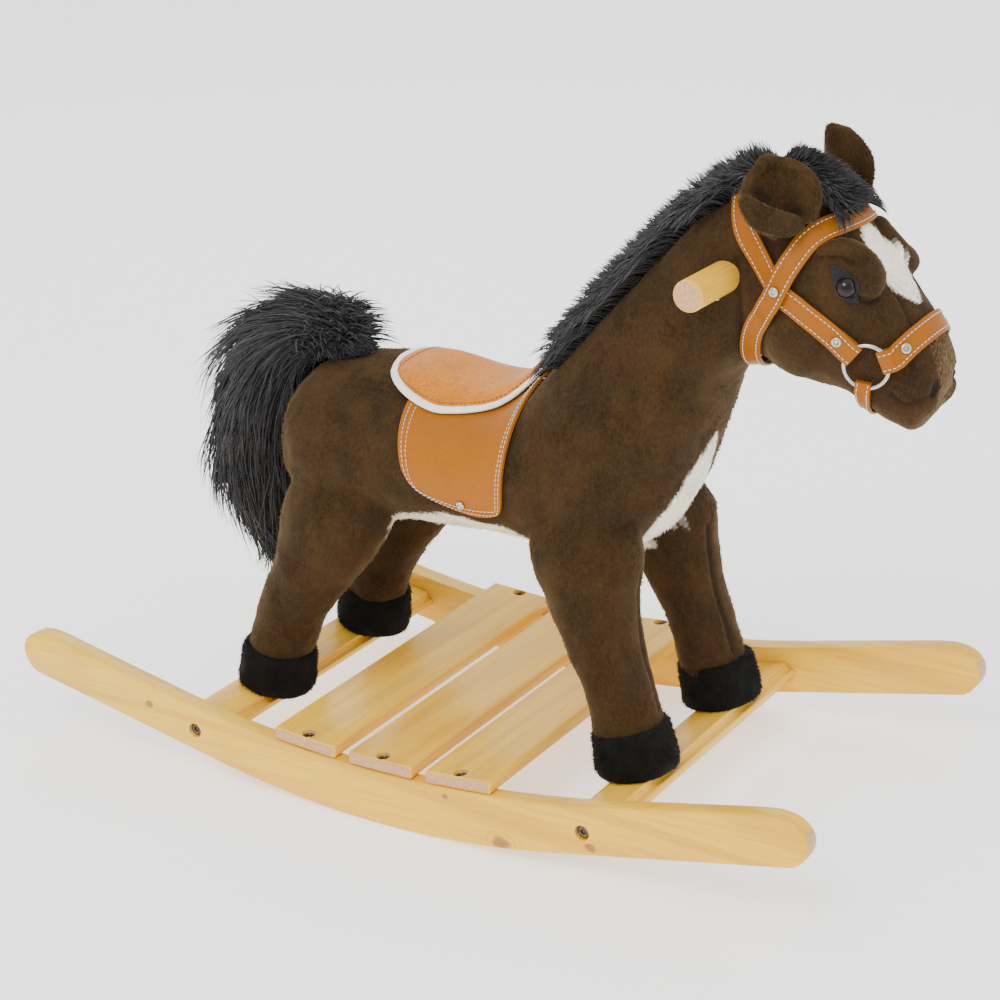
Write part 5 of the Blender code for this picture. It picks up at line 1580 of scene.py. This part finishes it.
def seat_outline(u, v):
    """u runs back to front and v from the right edge to the left."""
    return SEAT_FROM + (SEAT_TO - SEAT_FROM) * u, seat_reach(u) * (2 * v - 1)


def seat_top(u, v):
    """The height of the stuffed top, with soft wrinkles where the dip pulls the cover."""
    crown = (1 - (2 * v - 1) ** 4) * (1 - (2 * u - 1) ** 8)
    wrinkle = math.exp(-(((u - 0.62) / 0.16) ** 2)) * abs(2 * v - 1) ** 1.5
    ripple = math.sin(70 * u + 9 * abs(v - 0.5)) * 0.00045 * wrinkle
    return SEAT_LIFT + SEAT_EDGE + (SEAT_THICKNESS - SEAT_EDGE) * crown + ripple


shape = bmesh.new()
laid_panel(shape, 72, 56, seat_outline, lambda u, v: SEAT_LIFT, seat_top)
seat = new_piece("saddle_seat_pad", shape, seat_leather)
round_edges(seat, 0.0012, 3, 45)
settle(seat, BODY, "tan_leatherette", "saddle_seat")


def seat_rim(inset):
    """Steps round the seat, a share in from its edge, as shares of its length and width."""
    low_u, high_u = inset, 1 - inset
    walk = [(u, inset) for u in np.linspace(low_u, high_u, 60)]
    walk += [(high_u, v) for v in np.linspace(inset, 1 - inset, 24)][1:]
    walk += [(u, 1 - inset) for u in np.linspace(high_u, low_u, 60)][1:]
    walk += [(low_u, v) for v in np.linspace(1 - inset, inset, 24)][1:-1]
    return walk


rim, outs, radii = [], [], []
for u, v in seat_rim(0.0):
    place, degrees = seat_outline(u, v)
    spot, normal = coat_spot(place, degrees, SEAT_LIFT + SEAT_EDGE * 0.55)
    rim.append(spot)
    outs.append(normal)
    radii.append(0.0044 - 0.0016 * u)
rim = [(rim[k - 1] + rim[k] * 2 + rim[(k + 1) % len(rim)]) / 4 for k in range(len(rim))]
shape = bmesh.new()
rings = []
for k, centre in enumerate(rim):
    course = (rim[(k + 1) % len(rim)] - rim[k - 1]).normalized()
    out = (outs[k] - course * outs[k].dot(course)).normalized()
    across = course.cross(out)
    rings.append([
        centre + (across * math.cos(a) + out * math.sin(a) * 0.72) * radii[k] for a in circle_angles(14)
    ])
add_loft(shape, rings, closed=True)
piping = new_piece("saddle_piping", shape, piping_white)
piping.data.shade_smooth()
settle(piping, BODY, "tan_leatherette")

spots, ways = [], []
for u, v in seat_rim(0.045) + seat_rim(0.045)[:1]:
    place, degrees = seat_outline(u, v)
    spot, normal = coat_spot(place, degrees, seat_top(u, v) + STITCH_LIFT)
    spots.append(spot)
    ways.append(normal)
sew("saddle_seat_stitches", spots, ways, red_thread, "tan_leatherette")

FLAP_STUD = (5.65, 111)
FLAP_TUCK, FLAP_LOW_ANGLE = 9, 112  # degrees under the seat, and degrees from the ridge
FLAP_WAVE = 0.0006


def flap_top(u, v):
    """The height of a flap's outer face, with a slow wave towards its hem."""
    return SKIN_GAP + FLAP_THICKNESS + FLAP_WAVE * math.sin(5.0 * u + 3.5 * v) * v


for side_name, side in SIDES:

    def flap_outline(u, v, side=side):
        """u runs back to front, and v from under the seat down to the hem."""
        start = 4.25 + (4.65 - 4.25) * v**1.6
        end = 7.35 + (6.45 - 7.35) * v
        start += 0.42 * (1 - math.sqrt(max(0.0, 1 - max(0.0, (v - 0.78) / 0.22) ** 2)))
        end -= 0.16 * (1 - math.sqrt(max(0.0, 1 - max(0.0, (v - 0.90) / 0.10) ** 2)))
        hem = 1 - 0.16 * (1 - u) ** 3 - 0.05 * u**4
        place = start + (end - start) * u
        top = seat_reach((place - SEAT_FROM) / (SEAT_TO - SEAT_FROM)) - FLAP_TUCK
        return place, side * (top + (FLAP_LOW_ANGLE - top) * v * hem)

    shape = bmesh.new()
    laid_panel(shape, 48, 48, flap_outline, lambda u, v: SKIN_GAP, flap_top)
    flap = new_piece("saddle_flap_panel_" + side_name, shape, flap_leather)
    round_edges(flap, 0.0007, 3, 45)
    settle(flap, BODY, "tan_leatherette", "saddle_flap_" + side_name)
    for row, inset in enumerate((0.030, 0.066)):
        walk = [(inset, v) for v in np.linspace(0.08, 1 - inset, 40)]
        walk += [(u, 1 - inset) for u in np.linspace(inset, 1 - inset, 40)][1:]
        walk += [(1 - inset, v) for v in np.linspace(1 - inset, 0.08, 40)][1:]
        spots, ways = [], []
        for u, v in walk:
            place, degrees = flap_outline(u, v)
            spot, normal = coat_spot(place, degrees, flap_top(u, v) + STITCH_LIFT)
            spots.append(spot)
            ways.append(normal)
        name = "saddle_flap_stitches_%s_%d" % (side_name, row + 1)
        sew(name, spots, ways, white_thread, "tan_leatherette")


# ---------------------------------------------------------------- bridle
# Four stitched straps of the same imitation leather. The crown strap, the nose strap and the
# chin strap are folded round two steel rings, and hollow rivets hold the folds and crossings.

STRAP_WIDTH, CHIN_WIDTH, STRAP_THICKNESS = 0.0182, 0.0120, 0.0022
FOLD_THICKNESS, FOLD_LENGTH = 0.0064, 0.014
RING_RADIUS, WIRE_RADIUS = 0.0172, 0.0017
RING_STANDOFF, RING_CLEARANCE = 0.0012, 0.0005
RING_PLACE = (17.03, 92)
CROSSING = (13.95, 88)
CROSSING_RAMP = 0.030
# Places along the plush, degrees from the ridge and extra height of each strap's line
CHEEK_COURSE = (
    (16.05, 91.5, 0.001), (15.4, 91, 0), (14.6, 90, 0), (*CROSSING, 0), (13.1, 76, 0), (12.65, 52, 0),
)
CROWN_TOP = (12.42, 0, 0)
BROW_COURSE = (
    (15.0, 0, 0), (14.85, 24, 0), (14.4, 54, 0), (*CROSSING, 0), (13.35, 118, 0.001), (13.1, 152, 0.0035),
)
THROAT_LOW = (13.0, 180, 0.0045)
NOSE_COURSE = ((17.88, 67, 0.0015), (18.02, 47, 0), (18.12, 24, 0))
NOSE_TOP = (18.15, 0, 0)
CHIN_COURSE = ((17.22, 134, 0), (17.3, 156, 0))
CHIN_LOW = (17.32, -180, 0)
strap_leather = leather_finish("strap_leatherette", (0.27, 0.086, 0.0020), LEATHER_DEEP, 0.42)
bright_steel = metal_finish("bright_steel", (0.46, 0.45, 0.42, 1), (0.60, 0.59, 0.56, 1), 0.22, 1300.0)

ring_frames = {}
for side_name, side in SIDES:
    place, degrees = RING_PLACE
    centre, normal = coat_spot(place, side * degrees, SKIN_GAP + RING_STANDOFF + WIRE_RADIUS)
    ring_frames[side] = (centre, normal)
    turn = Vector((0, 0, 1)).rotation_difference(normal).to_matrix().to_4x4()
    shape = bmesh.new()
    rings = []
    for angle in circle_angles(72):
        radial = Vector((math.cos(angle), math.sin(angle), 0))
        wire = WIRE_RADIUS * (1 + 0.22 * math.exp(-(((angle - 1.1) / 0.07) ** 2)))  # thicker at the weld
        rings.append([
            radial * (RING_RADIUS + wire * math.cos(a)) + Vector((0, 0, wire * math.sin(a)))
            for a in circle_angles(14)
        ])
    add_loft(shape, rings, closed=True)
    bmesh.ops.transform(shape, matrix=Matrix.Translation(centre) @ turn, verts=shape.verts)
    ring = new_piece("bridle_wire_ring_" + side_name, shape, bright_steel)
    ring.data.shade_smooth()
    settle(ring, side_name + "_ring", "bright_steel", "bridle_ring_" + side_name)


def strap_line(corners, steps, closed=False):
    """Points and outward directions of a strap's middle, through its corners."""
    points, outwards = [], []
    crossing = coat_spot(*CROSSING)[0]
    for step in range(steps + (0 if closed else 1)):
        place, degrees, extra = along(corners, step / steps)
        spot, normal = coat_spot(place, degrees)
        lift = SKIN_GAP + STRAP_THICKNESS / 2 + extra
        if closed:
            mirrored = Vector((spot.x, math.copysign(spot.y, crossing.y), spot.z))
            near = max(0.0, 1 - (mirrored - crossing).length / CROSSING_RAMP)
            lift += (STRAP_THICKNESS + SKIN_GAP) * min(1.0, near * 2.2)
        points.append(spot + normal * lift)
        outwards.append(normal)
    return points, outwards


def strap_sides(points, outwards, closed):
    """The directions across a strap and out of its face at each of its points."""
    frames = []
    count = len(points)
    for k in range(count):
        before = points[k - 1] if (k or closed) else points[k]
        after = points[(k + 1) % count] if (k < count - 1 or closed) else points[k]
        course = (after - before).normalized()
        out = (outwards[k] - course * outwards[k].dot(course)).normalized()
        frames.append((course.cross(out), out))
    return frames


def make_strap(name, node, points, outwards, width, thicknesses, closed=False):
    """A strap with rounded edges and two rows of stitches along it."""
    frames = strap_sides(points, outwards, closed)
    rings = []
    for point, (across, out), thick in zip(points, frames, thicknesses):
        half, deep, soft = width / 2, thick / 2, 0.0007
        corners = []
        for sx, sy in ((-1, -1), (1, -1), (1, 1), (-1, 1)):
            for t in (2, 1, 0) if sx * sy < 0 else (0, 1, 2):
                a = math.pi / 4 * t
                x, y = half - soft + soft * math.cos(a), deep - soft + soft * math.sin(a)
                corners.append((sx * x, sy * y))
        rings.append([point + across * x + out * y for x, y in corners])
    shape = bmesh.new()
    add_loft(shape, rings, closed)
    strap = new_piece(name, shape, strap_leather)
    select_only(strap)
    bpy.ops.object.shade_smooth_by_angle(angle=math.radians(60))
    settle(strap, BODY, "tan_leatherette", node)
    for row, share in enumerate((-0.33, 0.33)):
        edge = [
            p + across * width * share + out * (thick / 2 + STITCH_LIFT)
            for p, (across, out), thick in zip(points, frames, thicknesses)
        ]
        ways = [out for across, out in frames]
        if closed:
            edge.append(edge[0])
            ways.append(ways[0])
        sew("%s_stitches_%d" % (name, row + 1), edge, ways, white_thread, "tan_leatherette")


def ring_fold(side, guide, width):
    """The last points of a strap, folded round the ring's wire, from outside inwards."""
    centre, normal = ring_frames[side]
    toward = guide - centre
    toward = (toward - normal * toward.dot(normal)).normalized()
    inside = math.sqrt(RING_RADIUS**2 - (width / 2) ** 2) - WIRE_RADIUS - RING_CLEARANCE - 0.0011
    outside = RING_RADIUS + WIRE_RADIUS + RING_CLEARANCE + 0.0011
    reaches = [inside + (outside - inside) * share for share in (1, 0.75, 0.5, 0.25, 0)]
    return [centre + toward * reach for reach in reaches], normal


def mirrored_course(course, side, whole_turn=0):
    return [(place, side * degrees + whole_turn, extra) for place, degrees, extra in course]


def ring_strap(name, node, course, middle, width, steps):
    """A strap from the right ring, over or under the head, to the left ring."""
    whole_turn = -360 if middle[1] < 0 else 0
    corners = mirrored_course(course, -1) + [middle] + mirrored_course(course, 1, whole_turn)[::-1]
    points, outwards = strap_line(corners, steps)
    first, first_out = ring_fold(-1, points[0], width)
    last, last_out = ring_fold(1, points[-1], width)
    points = first[::-1] + points + last
    outwards = [first_out] * 5 + outwards + [last_out] * 5
    thick = []
    for point in points:
        reach = min((point - first[0]).length, (point - last[0]).length)
        on_ring = min((point - ring_frames[s][0]).length for s in (-1, 1)) < RING_RADIUS + 0.004
        share = 1.0 if on_ring else max(0.0, 1 - reach / FOLD_LENGTH)
        thick.append(STRAP_THICKNESS + (FOLD_THICKNESS - STRAP_THICKNESS) * share)
    ends = (0.72, 0.94)
    for k, share in enumerate(ends):
        thick[k] *= share
        thick[-1 - k] *= share
    make_strap(name, node, points, outwards, width, thick)


ring_strap("crown_band", "crown_strap", CHEEK_COURSE, CROWN_TOP, STRAP_WIDTH, 132)
ring_strap("nose_band", "nose_strap", NOSE_COURSE, NOSE_TOP, STRAP_WIDTH, 54)
ring_strap("chin_band", "chin_strap", CHIN_COURSE, CHIN_LOW, CHIN_WIDTH, 28)
brow_half = [THROAT_LOW] + mirrored_course(BROW_COURSE[1:], 1)[::-1] + [BROW_COURSE[0]]
other_half = mirrored_course(BROW_COURSE[1:], -1) + [(THROAT_LOW[0], -THROAT_LOW[1], THROAT_LOW[2])]
points, outwards = strap_line(brow_half + other_half, 150, closed=True)
thicknesses = [STRAP_THICKNESS] * len(points)
make_strap("brow_band", "brow_strap", points, outwards, STRAP_WIDTH, thicknesses, closed=True)

RIVET = (
    (0.0006, 0.0002, False), (0.0014, 0.0003, False), (0.0018, 0.0012, False), (0.0024, 0.0018, False),
    (0.0032, 0.0017, False), (0.0039, 0.0012, False), (0.0042, 0.0005, False), (0.0042, -0.0002, False),
)
for side_name, side in SIDES:
    for kind in ("crossing", "cheek", "nose"):
        node = "rivet_%s_%s" % (kind, side_name)
        points = node_points(node)
        middle = Vector(points.mean(0))
        axis = Vector(np.linalg.svd(points - points.mean(0))[2][2])
        axis = -axis if axis.y * side < 0 else axis
        foot = middle + axis * float(((points - points.mean(0)) @ np.array(axis)).min())
        rivet = turned_piece("tube_" + node, RIVET, foot, axis, bright_steel)
        settle(rivet, BODY, "bright_steel", node)
    stud, normal = coat_spot(FLAP_STUD[0], side * (FLAP_STUD[1] - 9), SKIN_GAP + FLAP_THICKNESS + 0.0004)
    piece = turned_piece("saddle_flap_stud_" + side_name, RIVET, stud, normal, bright_steel)
    settle(piece, BODY, "bright_steel")
    root = HORSE + Vector((HANDLE_IN_HORSE.x, side * 0.0640, HANDLE_IN_HORSE.z - 0.0127 - 0.0002))
    pin = (
        (0.0006, -0.0010, True), (0.0012, -0.0002, True), (0.0016, 0.0016, False), (0.0030, 0.0014, False),
        (0.0034, 0.0004, False), (0.0034, -0.0006, False),
    )
    screw = turned_piece("dowel_screw_" + side_name, pin, root, Vector((0, 0, -1)), zinc_finish)
    settle(screw, BODY, "zinc_hardware")
